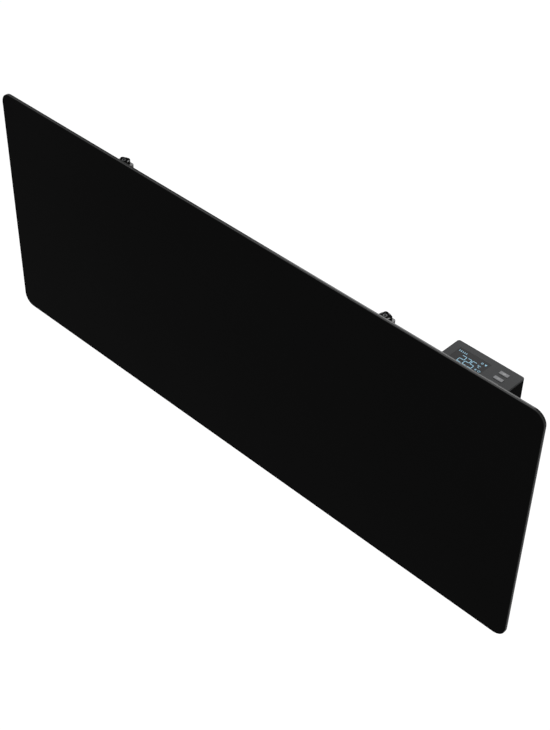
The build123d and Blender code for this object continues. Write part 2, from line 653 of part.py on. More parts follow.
with BuildPart() as control_fascia:
    with BuildSketch(level(COVER_TOP)) as plate:
        with Locations((BOX_X, BOX_Y)):
            Rectangle(BOX_W, BOX_DEPTH)
        fillet(plate.vertices().group_by(Axis.Y)[-1], COVER_EDGE_R)
    extrude(amount=FASCIA_T)
    chamfer(control_fascia.edges().group_by(Axis.Z)[-1], FASCIA_EDGE)
    with BuildSketch(level(COVER_TOP)):
        with Locations((WINDOW_X, BOX_Y)):
            Rectangle(WINDOW_W, WINDOW_D)
        with Locations((KEY_X, BOX_Y)):
            with GridLocations(1, KEY_PITCH, 1, len(KEYS)):
                RectangleRounded(
                    KEY_W + 2 * KEY_CLEARANCE, KEY_D + 2 * KEY_CLEARANCE, KEY_CORNER_R + KEY_CLEARANCE
                )
    extrude(amount=FASCIA_T, mode=Mode.SUBTRACT)
    with BuildSketch(level(COVER_TOP)) as skirt:
        with Locations((BOX_X, (SKIRT_BACK + SKIRT_FRONT) / 2)):
            Rectangle(2 * (INNER_X - SLIDE_FIT), SKIRT_BACK - SKIRT_FRONT)
        fillet(skirt.vertices().group_by(Axis.Y)[-1], COVER_EDGE_R - BOX_WALL)
        offset(amount=-SKIRT_T, mode=Mode.SUBTRACT)
    extrude(amount=-SKIRT_DEPTH)
    with BuildSketch(level(COVER_TOP)):
        with Locations((BOX_X, BOX_Y)):
            with GridLocations(2 * FASCIA_POST_X, 2 * FASCIA_POST_Y, 2, 2):
                Rectangle(FASCIA_POST, FASCIA_POST)
    extrude(amount=DISPLAY_BOARD_TOP - COVER_TOP)
    with BuildSketch(level(DISPLAY_BOARD_TOP)):
        with Locations(*FASCIA_SCREW_SPOTS):
            RegularPolygon(FASCIA_PILOT_R, SCREW_SIDES)
    extrude(amount=DISPLAY_BOARD_DROP - FASCIA_T / 2, mode=Mode.SUBTRACT)
save(control_fascia, "control_fascia")

with BuildPart() as display_window:
    with BuildSketch(level(COVER_TOP)):
        with Locations((WINDOW_X, BOX_Y)):
            Rectangle(WINDOW_W, WINDOW_D)
    extrude(amount=FASCIA_T - SLIDE_FIT)
    with BuildSketch(level(COVER_TOP - WINDOW_FLANGE_T)):
        with Locations((WINDOW_X, BOX_Y)):
            Rectangle(WINDOW_W + 2 * WINDOW_FLANGE_RIM, WINDOW_D + 2 * WINDOW_FLANGE_RIM)
    extrude(amount=WINDOW_FLANGE_T)
save(display_window, "display_window")

MODULE_GLASS_T = 1.6                                # glass cell on the module's frame
MODULE_INSET = 0.7                                  # frame inside the window's outline
with BuildPart() as display_module:
    glass_bottom = COVER_TOP - WINDOW_FLANGE_T - MODULE_GLASS_T
    with BuildSketch(level(DISPLAY_BOARD_TOP)):
        with Locations((WINDOW_X, BOX_Y)):
            Rectangle(WINDOW_W - 2 * MODULE_INSET, WINDOW_D - 2 * MODULE_INSET)
    extrude(amount=glass_bottom - DISPLAY_BOARD_TOP)
    with BuildSketch(level(glass_bottom)):
        with Locations((WINDOW_X, BOX_Y)):
            Rectangle(WINDOW_W - 4 * MODULE_INSET, WINDOW_D - 4 * MODULE_INSET)
    extrude(amount=MODULE_GLASS_T)
save(display_module, "display_module")

with BuildPart() as display_board:
    with BuildSketch(level(DISPLAY_BOARD_TOP - DISPLAY_BOARD_T)):
        with Locations((BOX_X, BOX_Y)):
            Rectangle(DISPLAY_BOARD_W, DISPLAY_BOARD_D)
        with Locations(*FASCIA_SCREW_SPOTS):
            RegularPolygon(FASCIA_PILOT_R, SCREW_SIDES, mode=Mode.SUBTRACT)
    extrude(amount=DISPLAY_BOARD_T)
save(display_board, "display_board")

SWITCH_W = 6.0
SWITCH_H = 3.5
STEM = 3.0                                          # square
STEM_ROOM = 0.4
STEM_INSERT = 0.7                                   # stem in its switch at rest
with BuildPart() as key_switches:
    with BuildSketch(level(DISPLAY_BOARD_TOP)):
        with Locations((KEY_X, BOX_Y)):
            with GridLocations(1, KEY_PITCH, 1, len(KEYS)):
                Rectangle(SWITCH_W, SWITCH_W)
    extrude(amount=SWITCH_H)
    with BuildSketch(level(DISPLAY_BOARD_TOP + SWITCH_H)):
        with Locations((KEY_X, BOX_Y)):
            with GridLocations(1, KEY_PITCH, 1, len(KEYS)):
                Rectangle(STEM + 2 * STEM_ROOM, STEM + 2 * STEM_ROOM)
    extrude(amount=-STEM_INSERT - 2 * KEY_TRAVEL, mode=Mode.SUBTRACT)
save(key_switches, "key_switches")


def fascia_key(row):
    """Key cap with a flange that stops it under the fascia and a stem into its switch."""
    y = BOX_Y + row * KEY_PITCH
    with BuildPart() as key:
        with BuildSketch(level(KEY_FLANGE_TOP)):
            with Locations((KEY_X, y)):
                RectangleRounded(KEY_W, KEY_D, KEY_CORNER_R)
        extrude(amount=BOX_TOP + KEY_PROUD - KEY_FLANGE_TOP)
        chamfer(key.edges().group_by(Axis.Z)[-1], KEY_EDGE)
        with BuildSketch(level(KEY_FLANGE_TOP - KEY_FLANGE_T)):
            with Locations((KEY_X, y)):
                Rectangle(KEY_W + 2 * KEY_FLANGE_RIM, KEY_D + 2 * KEY_FLANGE_RIM)
        extrude(amount=KEY_FLANGE_T)
        with BuildSketch(level(DISPLAY_BOARD_TOP + SWITCH_H - STEM_INSERT)):
            with Locations((KEY_X, y)):
                Rectangle(STEM, STEM)
        extrude(until=Until.NEXT)
    return key


for name, row in KEYS.items():
    save(fascia_key(row), name)

# ---------------------------------------------------------------- power board and what it carries
BOARD_BACK = BOARD_FRONT + BOARD_T

with BuildPart() as power_board:
    with BuildSketch(facing(BOARD_FRONT)):
        with Locations((BOX_X, (BOARD_BOTTOM + BOARD_TOP) / 2)):
            Rectangle(BOARD_W, BOARD_TOP - BOARD_BOTTOM)
        with Locations(*[(-spot_x, spot_z) for spot_x, spot_z in BOARD_SCREW_SPOTS]):
            RegularPolygon(PILOT_R, SCREW_SIDES, mode=Mode.SUBTRACT)
    extrude(amount=-BOARD_T)
save(power_board, "power_board")

BOARD_SCREW_HEAD_R = 2.6
BOARD_SCREW_HEAD_H = 1.8
BOARD_SCREW_LEN = 6.0
with BuildPart() as board_screws:
    with BuildSketch(backing(BOARD_BACK)):
        with Locations(*BOARD_SCREW_SPOTS):
            RegularPolygon(BOARD_SCREW_HEAD_R, SCREW_SIDES)
    extrude(amount=BOARD_SCREW_HEAD_H)
    with BuildSketch(backing(BOARD_BACK)):
        with Locations(*BOARD_SCREW_SPOTS):
            RegularPolygon(PILOT_R, SCREW_SIDES)
    extrude(amount=-BOARD_SCREW_LEN)
    with BuildSketch(level(DISPLAY_BOARD_TOP - DISPLAY_BOARD_T)):
        with Locations(*FASCIA_SCREW_SPOTS):
            RegularPolygon(2 * FASCIA_PILOT_R, SCREW_SIDES)
    extrude(amount=-BOARD_SCREW_HEAD_H)
    with BuildSketch(level(DISPLAY_BOARD_TOP - DISPLAY_BOARD_T)):
        with Locations(*FASCIA_SCREW_SPOTS):
            RegularPolygon(FASCIA_PILOT_R, SCREW_SIDES)
    extrude(amount=BOARD_SCREW_LEN)
save(board_screws, "board_screws")

STANDING = (Align.CENTER, Align.MIN, Align.CENTER)   # on the board, middle given by X and Z
CORE_X = BOX_X - 18.5                                # transformer; sizes across, off the board, up
CORE_SIZE = (30.0, 22.0, 12.0)
COIL_SIZE = (20.0, 18.0, 26.0)
CORE_Z = -6.0
RELAY_X = BOX_X + 16.5
RELAY_Z = -10.0
RELAY_SIZE = (12.6, 15.5, 29.0)
RELAY_EDGE = 0.5
CAPACITOR_Z = -36.0
FILM_CAPACITOR_X = BOX_X - 19.5
FILM_CAPACITOR_SIZE = (18.0, 14.0, 8.0)
CAN_CAPACITOR_X = BOX_X - 1.5
CAN_R = 5.0
CAN_H = 16.0

with BuildPart() as transformer:
    with Locations((CORE_X, BOARD_BACK, CORE_Z)):
        Box(*CORE_SIZE, align=STANDING)
        Box(*COIL_SIZE, align=STANDING)
save(transformer, "transformer")

with BuildPart() as relay:
    with Locations((RELAY_X, BOARD_BACK, RELAY_Z)):
        Box(*RELAY_SIZE, align=STANDING)
    chamfer(relay.edges().group_by(Axis.Y)[-1], RELAY_EDGE)
save(relay, "relay")

with BuildPart() as capacitors:
    with Locations((FILM_CAPACITOR_X, BOARD_BACK, CAPACITOR_Z)):
        Box(*FILM_CAPACITOR_SIZE, align=STANDING)
    with BuildSketch(backing(BOARD_BACK)):
        with Locations((-CAN_CAPACITOR_X, CAPACITOR_Z)):
            Circle(CAN_R)
    extrude(amount=CAN_H)
save(capacitors, "capacitors")

FUSE_X = 399.0
FUSE_Z = -37.0
FUSE_HEIGHT = 5.5                                    # over the board
FUSE_Y = BOARD_BACK + FUSE_HEIGHT
FUSE_R = 2.6
FUSE_LEN = 20.0
CLIP_PITCH = 18.0                                    # the holder's two clips
CLIP_SIZE = (5.0, 6.5, 8.0)
HOLDER_SIZE = (24.0, 2.0, 8.0)
with BuildPart() as fuse_holder:
    with Locations((FUSE_X, BOARD_BACK, FUSE_Z)):
        Box(*HOLDER_SIZE, align=STANDING)
        with GridLocations(CLIP_PITCH, 1, 2, 1):
            Box(*CLIP_SIZE, align=STANDING)
    with BuildSketch(Plane.YZ.offset(FUSE_X - CLIP_PITCH)):
        with Locations((FUSE_Y, FUSE_Z)):
            Circle(FUSE_R)
    extrude(amount=2 * CLIP_PITCH, mode=Mode.SUBTRACT)
save(fuse_holder, "fuse_holder")

with BuildPart() as fuse:
    with BuildSketch(Plane.YZ.offset(FUSE_X - FUSE_LEN / 2)):
        with Locations((FUSE_Y, FUSE_Z)):
            Circle(FUSE_R)
    extrude(amount=FUSE_LEN)
save(fuse, "fuse")

TERMINAL_RIGHT = 410.0
TERMINAL_TOP = 31.0
TERMINAL_W = 30.0
TERMINAL_D = 12.0
TERMINAL_H = 13.0
TERMINAL_BEVEL = 2.0
TERMINAL_WELL_R = 2.2
TERMINAL_WELL_DEPTH = 4.0
TERMINAL_Z = TERMINAL_TOP - TERMINAL_H / 2
TERMINAL_X = TERMINAL_RIGHT - TERMINAL_W / 2
with BuildPart() as terminal_block:
    with Locations((TERMINAL_X, BOARD_BACK, TERMINAL_Z)):
        Box(TERMINAL_W, TERMINAL_D, TERMINAL_H, align=STANDING)
    chamfer(terminal_block.edges().group_by(Axis.Y)[-1].filter_by(Axis.X), TERMINAL_BEVEL)
    with BuildSketch(backing(BOARD_BACK + TERMINAL_D)):
        with Locations((-TERMINAL_X, TERMINAL_Z)):
            with GridLocations(TERMINAL_W / 3, 1, 3, 1):
                RegularPolygon(TERMINAL_WELL_R, SCREW_SIDES)
    extrude(amount=-TERMINAL_WELL_DEPTH, mode=Mode.SUBTRACT)
save(terminal_block, "terminal_block")

CUTOUT_FLANGE_T = 3.0
CUTOUT_BODY_R = 6.5
CUTOUT_BODY_T = 2.5
with BuildPart() as thermal_cutout:
    with BuildSketch(backing(PANEL_BACK)):
        with Locations((-BOX_X, CUTOUT_Z)):
            Circle(CUTOUT_R)
    extrude(amount=CUTOUT_FLANGE_T)
    with BuildSketch(backing(PANEL_BACK + CUTOUT_FLANGE_T)):
        with Locations((-BOX_X, CUTOUT_Z)):
            RegularPolygon(CUTOUT_BODY_R, SCREW_SIDES)
    extrude(amount=CUTOUT_BODY_T)
save(thermal_cutout, "thermal_cutout")

SENSOR_R = 1.8
SENSOR_Z = COVER_INNER_BOTTOM + 3.5
SENSOR_LEN = 8.0
SENSOR_FOOT = (9.0, 4.0, 6.0)
SENSOR_FOOT_Y = SENSOR_Y - 8.0
with BuildPart() as room_sensor:
    with Locations((BOX_X, SENSOR_FOOT_Y, COVER_INNER_BOTTOM)):
        Box(*SENSOR_FOOT, align=(Align.CENTER, Align.CENTER, Align.MIN))
    with BuildSketch(backing(SENSOR_FOOT_Y + SENSOR_FOOT[1] / 2)):
        with Locations((-BOX_X, SENSOR_Z)):
            RegularPolygon(SENSOR_R, SCREW_SIDES)
    extrude(amount=SENSOR_LEN)
    chamfer(room_sensor.edges().group_by(Axis.Y)[-1], SENSOR_R / 3)
save(room_sensor, "room_sensor")

LEAD_R = 1.3
LEAD_BEND = 6.0
LEAD_HEIGHT = 6.0                                    # over the board
LEAD_Y = BOARD_BACK + LEAD_HEIGHT
LEAD_ENDS = (                                        # where each lead turns and ends in the terminal block
    ((LEAD_HOLES[0][0], LEAD_Y, TERMINAL_TOP),),
    ((LEAD_HOLES[1][0], LEAD_Y, TERMINAL_Z), (TERMINAL_RIGHT, LEAD_Y, TERMINAL_Z)),
)
with BuildPart() as film_leads:
    for (hole_x, hole_z), ends in zip(LEAD_HOLES, LEAD_ENDS):
        with BuildLine() as route:
            FilletPolyline(
                (hole_x, FILM_BACK, hole_z), (hole_x, LEAD_Y, hole_z), *ends, radius=LEAD_BEND,
            )
        with BuildSketch(facing(FILM_BACK)):
            with Locations((hole_x, hole_z)):
                RegularPolygon(LEAD_R, HEXAGON)
        sweep(path=route.wires()[0])
save(film_leads, "film_leads")

# ---------------------------------------------------------------- cord gland
GLAND_BORE_R = 5.2
SEAL_BORE_R = 3.5                                   # for a 7 mm cord
HEX_H = 4.0
HEX_BOTTOM = BOX_BOTTOM - HEX_H
HEX_R = 11.5
BODY_ABOVE = 7.5                                    # thread inside the cover and below the hexagon
BODY_BELOW = 6.0
BODY_TOP = COVER_INNER_BOTTOM + BODY_ABOVE
BODY_BOTTOM = HEX_BOTTOM - BODY_BELOW
LOCKNUT_R = 11.0
LOCKNUT_T = 5.0
CAP_GAP = 0.5
CAP_H = 15.5
CAP_FLOOR = 2.5
CAP_TOP = HEX_BOTTOM - CAP_GAP
CAP_BOTTOM = CAP_TOP - CAP_H
CAP_NOSE_BEVEL = 3.0
CAP_MOUTH_R = 4.3
SEAL_INSERT = 4.0                                   # seal inside the body
SEAL_TOP = BODY_BOTTOM + SEAL_INSERT
SEAL_BOTTOM = CAP_BOTTOM + CAP_FLOOR

with BuildPart() as gland_body:
    with BuildSketch(level(BODY_BOTTOM)):
        with Locations((GLAND_X, BOX_Y)):
            Circle(GLAND_THREAD_R)
    extrude(amount=BODY_TOP - BODY_BOTTOM)
    with BuildSketch(level(HEX_BOTTOM)):
        with Locations((GLAND_X, BOX_Y)):
            RegularPolygon(HEX_R, HEXAGON)
    extrude(amount=BOX_BOTTOM - HEX_BOTTOM)
    with Locations((GLAND_X, BOX_Y, BODY_TOP)):
        Hole(GLAND_BORE_R, depth=BODY_TOP - BODY_BOTTOM)
save(gland_body, "gland_body")

with BuildPart() as gland_locknut:
    with BuildSketch(level(COVER_INNER_BOTTOM)):
        with Locations((GLAND_X, BOX_Y)):
            RegularPolygon(LOCKNUT_R, HEXAGON)
            Circle(GLAND_THREAD_R, mode=Mode.SUBTRACT)
    extrude(amount=LOCKNUT_T)
save(gland_locknut, "gland_locknut")

# The cap is a hexagon with a bevelled nose; its bore steps from the thread to the cord mouth.
with BuildPart() as gland_cap:
    with BuildSketch(level(CAP_BOTTOM)):
        with Locations((GLAND_X, BOX_Y)):
            RegularPolygon(HEX_R, HEXAGON)
    extrude(amount=CAP_TOP - CAP_BOTTOM)
    chamfer(gland_cap.edges().group_by(Axis.Z)[0], CAP_NOSE_BEVEL)
    with Locations((GLAND_X, BOX_Y, CAP_TOP)):
        CounterBoreHole(CAP_MOUTH_R, GLAND_THREAD_R, CAP_TOP - SEAL_BOTTOM, depth=CAP_TOP - CAP_BOTTOM)
save(gland_cap, "gland_cap")

with BuildPart() as gland_seal:
    with BuildSketch(level(SEAL_BOTTOM)):
        with Locations((GLAND_X, BOX_Y)):
            Circle(GLAND_BORE_R)
            Circle(SEAL_BORE_R, mode=Mode.SUBTRACT)
    extrude(amount=SEAL_TOP - SEAL_BOTTOM)
save(gland_seal, "gland_seal")

# ---------------------------------------------------------------- rocker switch
BEZEL_T = 2.0
BEZEL_RIM = 1.3
BEZEL_EDGE = 0.6
FRAME_TOP = -46.0
CAVITY_TOP = -53.0
CAVITY_W = 17.0
CAVITY_D = 10.6
PIVOT_Z = -59.0
ROCKER_D = 10.0
ROCKER_TIP = (7.2, -5.2)                            # points of its outline, out and up from the pivot
ROCKER_SWELL = (3.6, -4.1)
ROCKER_MIDDLE = -3.6
ROCKER_HEEL = (7.4, -1.0)
ROCKER_CROWN = (4.0, 2.5)
AXLE_R = 1.0
AXLE_INSERT = 0.6                                   # in each side of the frame
AXLE_HOLE_DEPTH = 0.8
ROCKER_TILT = 10.0                                  # at rest, and the same the other way when pressed

with BuildPart() as rocker_frame:
    with BuildSketch(level(BOX_BOTTOM - BEZEL_T)):
        with Locations((ROCKER_X, BOX_Y)):
            Rectangle(ROCKER_CUT_W + 2 * BEZEL_RIM, ROCKER_CUT_D + 2 * BEZEL_RIM)
    extrude(amount=BEZEL_T)
    chamfer(rocker_frame.edges().group_by(Axis.Z)[0], BEZEL_EDGE)
    with BuildSketch(level(BOX_BOTTOM)):
        with Locations((ROCKER_X, BOX_Y)):
            Rectangle(ROCKER_CUT_W - 4 * SLIDE_FIT, ROCKER_CUT_D - 4 * SLIDE_FIT)
    extrude(amount=FRAME_TOP - BOX_BOTTOM)
    with BuildSketch(level(BOX_BOTTOM - BEZEL_T)):
        with Locations((ROCKER_X, BOX_Y)):
            Rectangle(CAVITY_W, CAVITY_D)
    extrude(amount=CAVITY_TOP - BOX_BOTTOM + BEZEL_T, mode=Mode.SUBTRACT)
    with BuildSketch(facing(BOX_Y - CAVITY_D / 2 - AXLE_HOLE_DEPTH)):
        with Locations((ROCKER_X, PIVOT_Z)):
            Circle(AXLE_R + RUNNING_FIT)
    extrude(amount=-(CAVITY_D + 2 * AXLE_HOLE_DEPTH), mode=Mode.SUBTRACT)
save(rocker_frame, "rocker_frame")

rocker_side = Plane(origin=(ROCKER_X, BOX_Y - ROCKER_D / 2, PIVOT_Z), x_dir=(1, 0, 0), z_dir=(0, -1, 0))
with BuildPart() as rocker:
    with BuildSketch(rocker_side):
        with BuildLine():
            wing_left = ThreePointArc(
                (-ROCKER_TIP[0], ROCKER_TIP[1]), (-ROCKER_SWELL[0], ROCKER_SWELL[1]), (0, ROCKER_MIDDLE)
            )
            wing_right = ThreePointArc((0, ROCKER_MIDDLE), ROCKER_SWELL, ROCKER_TIP)
            Polyline(
                wing_right @ 1, ROCKER_HEEL, ROCKER_CROWN, (-ROCKER_CROWN[0], ROCKER_CROWN[1]),
                (-ROCKER_HEEL[0], ROCKER_HEEL[1]), wing_left @ 0,
            )
        make_face()
    extrude(amount=-ROCKER_D)
    with BuildSketch(facing(BOX_Y - CAVITY_D / 2 - AXLE_INSERT)):
        with Locations((ROCKER_X, PIVOT_Z)):
            Circle(AXLE_R)
    extrude(amount=-(CAVITY_D + 2 * AXLE_INSERT))
rocker.part = rocker.part.rotate(Axis((ROCKER_X, BOX_Y, PIVOT_Z), (0, 1, 0)), -ROCKER_TILT)
save(rocker, "rocker")

BLADE_PITCH = 6.5
BLADE_T = 0.8
BLADE_W = 4.8
BLADE_LEN = 7.0
with BuildPart() as switch_blades:
    with BuildSketch(level(FRAME_TOP)):
        with Locations((ROCKER_X, BOX_Y)):
            with GridLocations(BLADE_PITCH, 1, 2, 1):
                Rectangle(BLADE_T, BLADE_W)
    extrude(amount=BLADE_LEN)
save(switch_blades, "switch_blades")
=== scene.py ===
# %% [markdown]
# # Infrared panel heater
# A frameless panel of black glass hangs on two wall hooks. A lobed knob on top of each rear rail clamps
# it there, and a plastic box behind its upper right corner holds the display and the keys. The packed
# model gives every piece its place and size; this lesson gives each surface its finish and adds the
# small forms: cut threads, drive sockets, welds, lit cells and key marks.

# %% Load the fixed frame
import math

import bpy
from mathutils import Matrix, Vector


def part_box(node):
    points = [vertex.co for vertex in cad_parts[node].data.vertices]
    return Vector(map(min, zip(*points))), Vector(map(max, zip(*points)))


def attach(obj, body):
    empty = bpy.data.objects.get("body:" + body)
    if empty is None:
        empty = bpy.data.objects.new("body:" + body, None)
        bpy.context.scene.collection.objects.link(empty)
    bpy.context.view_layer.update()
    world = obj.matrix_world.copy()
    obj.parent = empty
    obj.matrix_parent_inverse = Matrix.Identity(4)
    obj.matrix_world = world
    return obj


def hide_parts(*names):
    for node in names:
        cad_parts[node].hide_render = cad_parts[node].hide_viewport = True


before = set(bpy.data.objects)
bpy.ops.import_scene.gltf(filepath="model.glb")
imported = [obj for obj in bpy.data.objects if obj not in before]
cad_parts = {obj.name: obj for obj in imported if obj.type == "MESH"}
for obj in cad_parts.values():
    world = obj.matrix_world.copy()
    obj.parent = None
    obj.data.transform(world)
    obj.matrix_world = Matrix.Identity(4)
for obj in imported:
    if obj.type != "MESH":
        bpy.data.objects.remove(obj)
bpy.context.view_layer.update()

MM = 0.001

# %% [markdown]
# ## Node trees as expressions
# A finish is a small sum: a base tone, plus a little cloud, times a mask. Drawn by hand in the shader
# editor it takes a dozen Math nodes and is hard to read again. The class below wraps one socket, so the
# sum is written in Python and the nodes appear by themselves, in Geometry Nodes too.

# %% A value that flows through a tree
class Flow:
    """One output socket; arithmetic on it adds Math nodes to its tree."""

    def __init__(self, tree, socket):
        self.tree = tree
        self.socket = socket

    def math(self, operation, *others):
        """This value and others through one Math node."""
        return self.tree.calculate(operation, self, *others)

    def __add__(self, other):
        return self.math("ADD", other)

    __radd__ = __add__

    def __sub__(self, other):
        return self.math("SUBTRACT", other)

    def __rsub__(self, other):
        return self.tree.calculate("SUBTRACT", other, self)

    def __mul__(self, other):
        return self.math("MULTIPLY", other)

    __rmul__ = __mul__

    def __truediv__(self, other):
        return self.math("DIVIDE", other)

    def __rtruediv__(self, other):
        return self.tree.calculate("DIVIDE", other, self)


class Tree:
    """A node tree that is filled by calls; settings go on a node before its sockets are fed."""

    def __init__(self, node_tree):
        self.node_tree = node_tree
        node_tree.nodes.clear()

    def node(self, kind, settings=None, sockets=None, output=0):
        """Add one node and return the flow out of it; its sockets take flows or plain values."""
        made = self.node_tree.nodes.new(kind)
        for name, value in (settings or {}).items():
            setattr(made, name, value)
        for key, value in (sockets or {}).items():
            if isinstance(value, Flow):
                self.node_tree.links.new(value.socket, made.inputs[key])
            else:
                made.inputs[key].default_value = value
        return Flow(self, made.outputs[output]) if made.outputs else made

    def calculate(self, operation, *values):
        """One Math node on any mix of flows and numbers."""
        return self.node("ShaderNodeMath", {"operation": operation}, dict(enumerate(values)))

    def parts_of(self, vector):
        """The x, y and z of a vector."""
        split = self.node("ShaderNodeSeparateXYZ", sockets={0: vector}).socket.node
        return [Flow(self, split.outputs[axis]) for axis in range(3)]

    def ease(self, value, start, end):
        """0 before start, 1 after end, smooth between them."""
        smooth = {"interpolation_type": "SMOOTHSTEP"}
        return self.node("ShaderNodeMapRange", smooth, {0: value, 1: start, 2: end})


print("tree helpers ready")

# %% [markdown]
# ## One class for every finish
# Each surface could be painted as an image, but that needs unwrapping and blurs when the camera comes
# near. Noise on Object coordinates needs neither, and because those are real metres here, a grain of
# 0.4 mm is a scale of 2500. The methods are what all finishes need: clouds of tone, a grain that lifts
# the surface, sparse dots and a principled shader.

# %% The finish class
def tone(red, green, blue):
    """A colour as a camera writes it, 0 to 255, turned into the linear values that a shader takes."""
    channels = [value / 255 for value in (red, green, blue)]
    linear = [c / 12.92 if c <= 0.04045 else ((c + 0.055) / 1.055) ** 2.4 for c in channels]
    return (*linear, 1.0)


def grey(level):
    """A neutral tone."""
    return tone(level, level, level)


class Finish(Tree):
    """One surface finish of the heater; its patterns take their sizes in millimetres."""

    def __init__(self, name):
        self.material = bpy.data.materials.new(name)
        self.material.use_nodes = True
        super().__init__(self.material.node_tree)
        self.place = self.node("ShaderNodeTexCoord", output="Object")

    def stretched(self, x=1.0, y=1.0, z=1.0):
        """Object coordinates, scaled along each axis."""
        return self.node("ShaderNodeMapping", sockets={"Vector": self.place, "Scale": (x, y, z)})

    def cloud(self, size, detail=2.0, along=None):
        """Soft noise from 0 to 1 whose blotches are about size across."""
        sockets = {"Vector": along or self.place, "Scale": 1.0 / (size * MM), "Detail": detail}
        return self.node("ShaderNodeTexNoise", sockets=sockets)

    def specks(self, size, share):
        """Small sparse dots, 1 inside a dot; share is how far a dot reaches into its cell."""
        sockets = {"Vector": self.place, "Scale": 1.0 / (size * MM)}
        return 1.0 - self.ease(self.node("ShaderNodeTexVoronoi", sockets=sockets), share * 0.5, share)

    def mix(self, factor, dark, light):
        """Blend two colours."""
        sockets = {"Factor": factor, 6: dark, 7: light}
        return self.node("ShaderNodeMix", {"data_type": "RGBA"}, sockets, output=2)

    def lifted(self, height, depth):
        """A normal that follows height, 0 to 1, over a depth."""
        return self.node("ShaderNodeBump", sockets={"Height": height, "Distance": depth * MM})

    def shader(self, colour, roughness, specular=0.5, metallic=0.0, normal=None, **others):
        """A principled shader; others are further sockets by their names, with _ for a space."""
        sockets = {"Base Color": colour, "Roughness": roughness, "Metallic": metallic}
        sockets["Specular IOR Level"] = specular
        if normal is not None:
            sockets["Normal"] = normal
        sockets.update({key.replace("_", " "): value for key, value in others.items()})
        return self.node("ShaderNodeBsdfPrincipled", sockets=sockets)

    def done(self, shader):
        """Send the shader to the surface and return the material."""
        self.node("ShaderNodeOutputMaterial", sockets={"Surface": shader})
        return self.material


print("finish class ready")

# %% [markdown]
# ## The camera
# The photograph looks down on the heater from its right end. A camera turned by eye is soon a little
# off, and along the panel's long top edge that shows. So its place, heading, roll and lens were solved
# from the panel's four corners. The picture is 550 by 730; its long side carries the sensor's width.

# %% Camera
def new_object(name, data):
    """An object in the scene that shows the given data."""
    made = bpy.data.objects.new(name, data)
    bpy.context.scene.collection.objects.link(made)
    return made


CAMERA_PLACE = Vector((1.09798, -1.14469, 1.20105))
CAMERA_HEADING = math.radians(43.312)
CAMERA_HEIGHT_ANGLE = math.radians(41.052)
CAMERA_ROLL = math.radians(1.388)
CAMERA_LENS = 71.135

camera_data = bpy.data.cameras.new("camera")
camera_data.lens = CAMERA_LENS
camera_data.sensor_width = 36.0
camera_data.clip_start = 0.05
camera_data.clip_end = 60.0
camera = new_object("camera", camera_data)
heading = Matrix.Rotation(CAMERA_HEADING, 4, "Z")
tilt = Matrix.Rotation(math.pi / 2 - CAMERA_HEIGHT_ANGLE, 4, "X")
roll = Matrix.Rotation(CAMERA_ROLL, 4, "Z")
camera.matrix_world = Matrix.Translation(CAMERA_PLACE) @ heading @ tilt @ roll
bpy.context.scene.camera = camera
print("camera", round(CAMERA_PLACE.length, 3), "m from the wall hooks' middle")

# %% [markdown]
# ## The soft card
# The picture was lit plainly from all round, with one large soft card behind and above the panel. A
# studio picture wrapped round the scene would light it too, but from wherever its lamps are. The card
# has to brighten the glass's top edge on its right half only, so its left end is placed by the law of
# reflection: from the spot where the bright band starts, back along the mirrored line of sight.

# %% Soft card
EDGE_POINT = Vector((0.076, -0.0563, 0.088))
CARD_DISTANCE = 2.75
CARD_WIDTH = 1.5
CARD_HEIGHT = 1.4
CARD_POWER = 60.0
SIGHT = (EDGE_POINT - CAMERA_PLACE).normalized()
MIRRORED = Vector((SIGHT.x, SIGHT.y, -SIGHT.z))

RIGHTWARD = MIRRORED.cross(Vector((0, 0, 1))).normalized()
UPWARD = MIRRORED.cross(RIGHTWARD)

card_edge = EDGE_POINT + MIRRORED * CARD_DISTANCE
card_data = bpy.data.lights.new("soft_card", "AREA")
card_data.shape = "RECTANGLE"
card_data.size = CARD_WIDTH
card_data.size_y = CARD_HEIGHT
card_data.energy = CARD_POWER
card = new_object("soft_card", card_data)
facing_back = Matrix((RIGHTWARD, UPWARD, MIRRORED)).transposed().to_4x4()
card.matrix_world = Matrix.Translation(card_edge + RIGHTWARD * CARD_WIDTH / 2) @ facing_back
print("card starts at", tuple(round(v, 2) for v in card_edge))

# %% [markdown]
# ## Surroundings and floor
# The photograph's ground is white, and yet the black glass isn't washed out. Stronger lamps would give
# the one and lose the other. So surroundings and floor show their white only to rays that look at them,
# straight or in a reflection, and light the heater more softly. The floor lies a metre below the panel.

# %% Surroundings and floor
AMBIENT = 0.5
FLOOR_HEIGHT = -1.3
FLOOR_REACH = 20.0
FLOOR_GLOW = 0.93
FLOOR_SHADE = 0.16
bpy.context.scene.view_settings.view_transform = "Standard"


def seen_directly(tree):
    """1 for rays that show the surroundings: from the camera, in a reflection or through glass."""
    names = ("Is Camera Ray", "Is Glossy Ray", "Is Transmission Ray")
    rays = [tree.node("ShaderNodeLightPath", output=name) for name in names]
    return rays[0].math("MAXIMUM", rays[1]).math("MAXIMUM", rays[2])


world = bpy.data.worlds.new("surroundings")
world.use_nodes = True
bpy.context.scene.world = world
sky = Tree(world.node_tree)
sky_strength = AMBIENT + (1.0 - AMBIENT) * seen_directly(sky)
sky_light = sky.node("ShaderNodeBackground", sockets={"Color": grey(255), "Strength": sky_strength})
sky.node("ShaderNodeOutputWorld", sockets={"Surface": sky_light})
print("surroundings light at", AMBIENT)

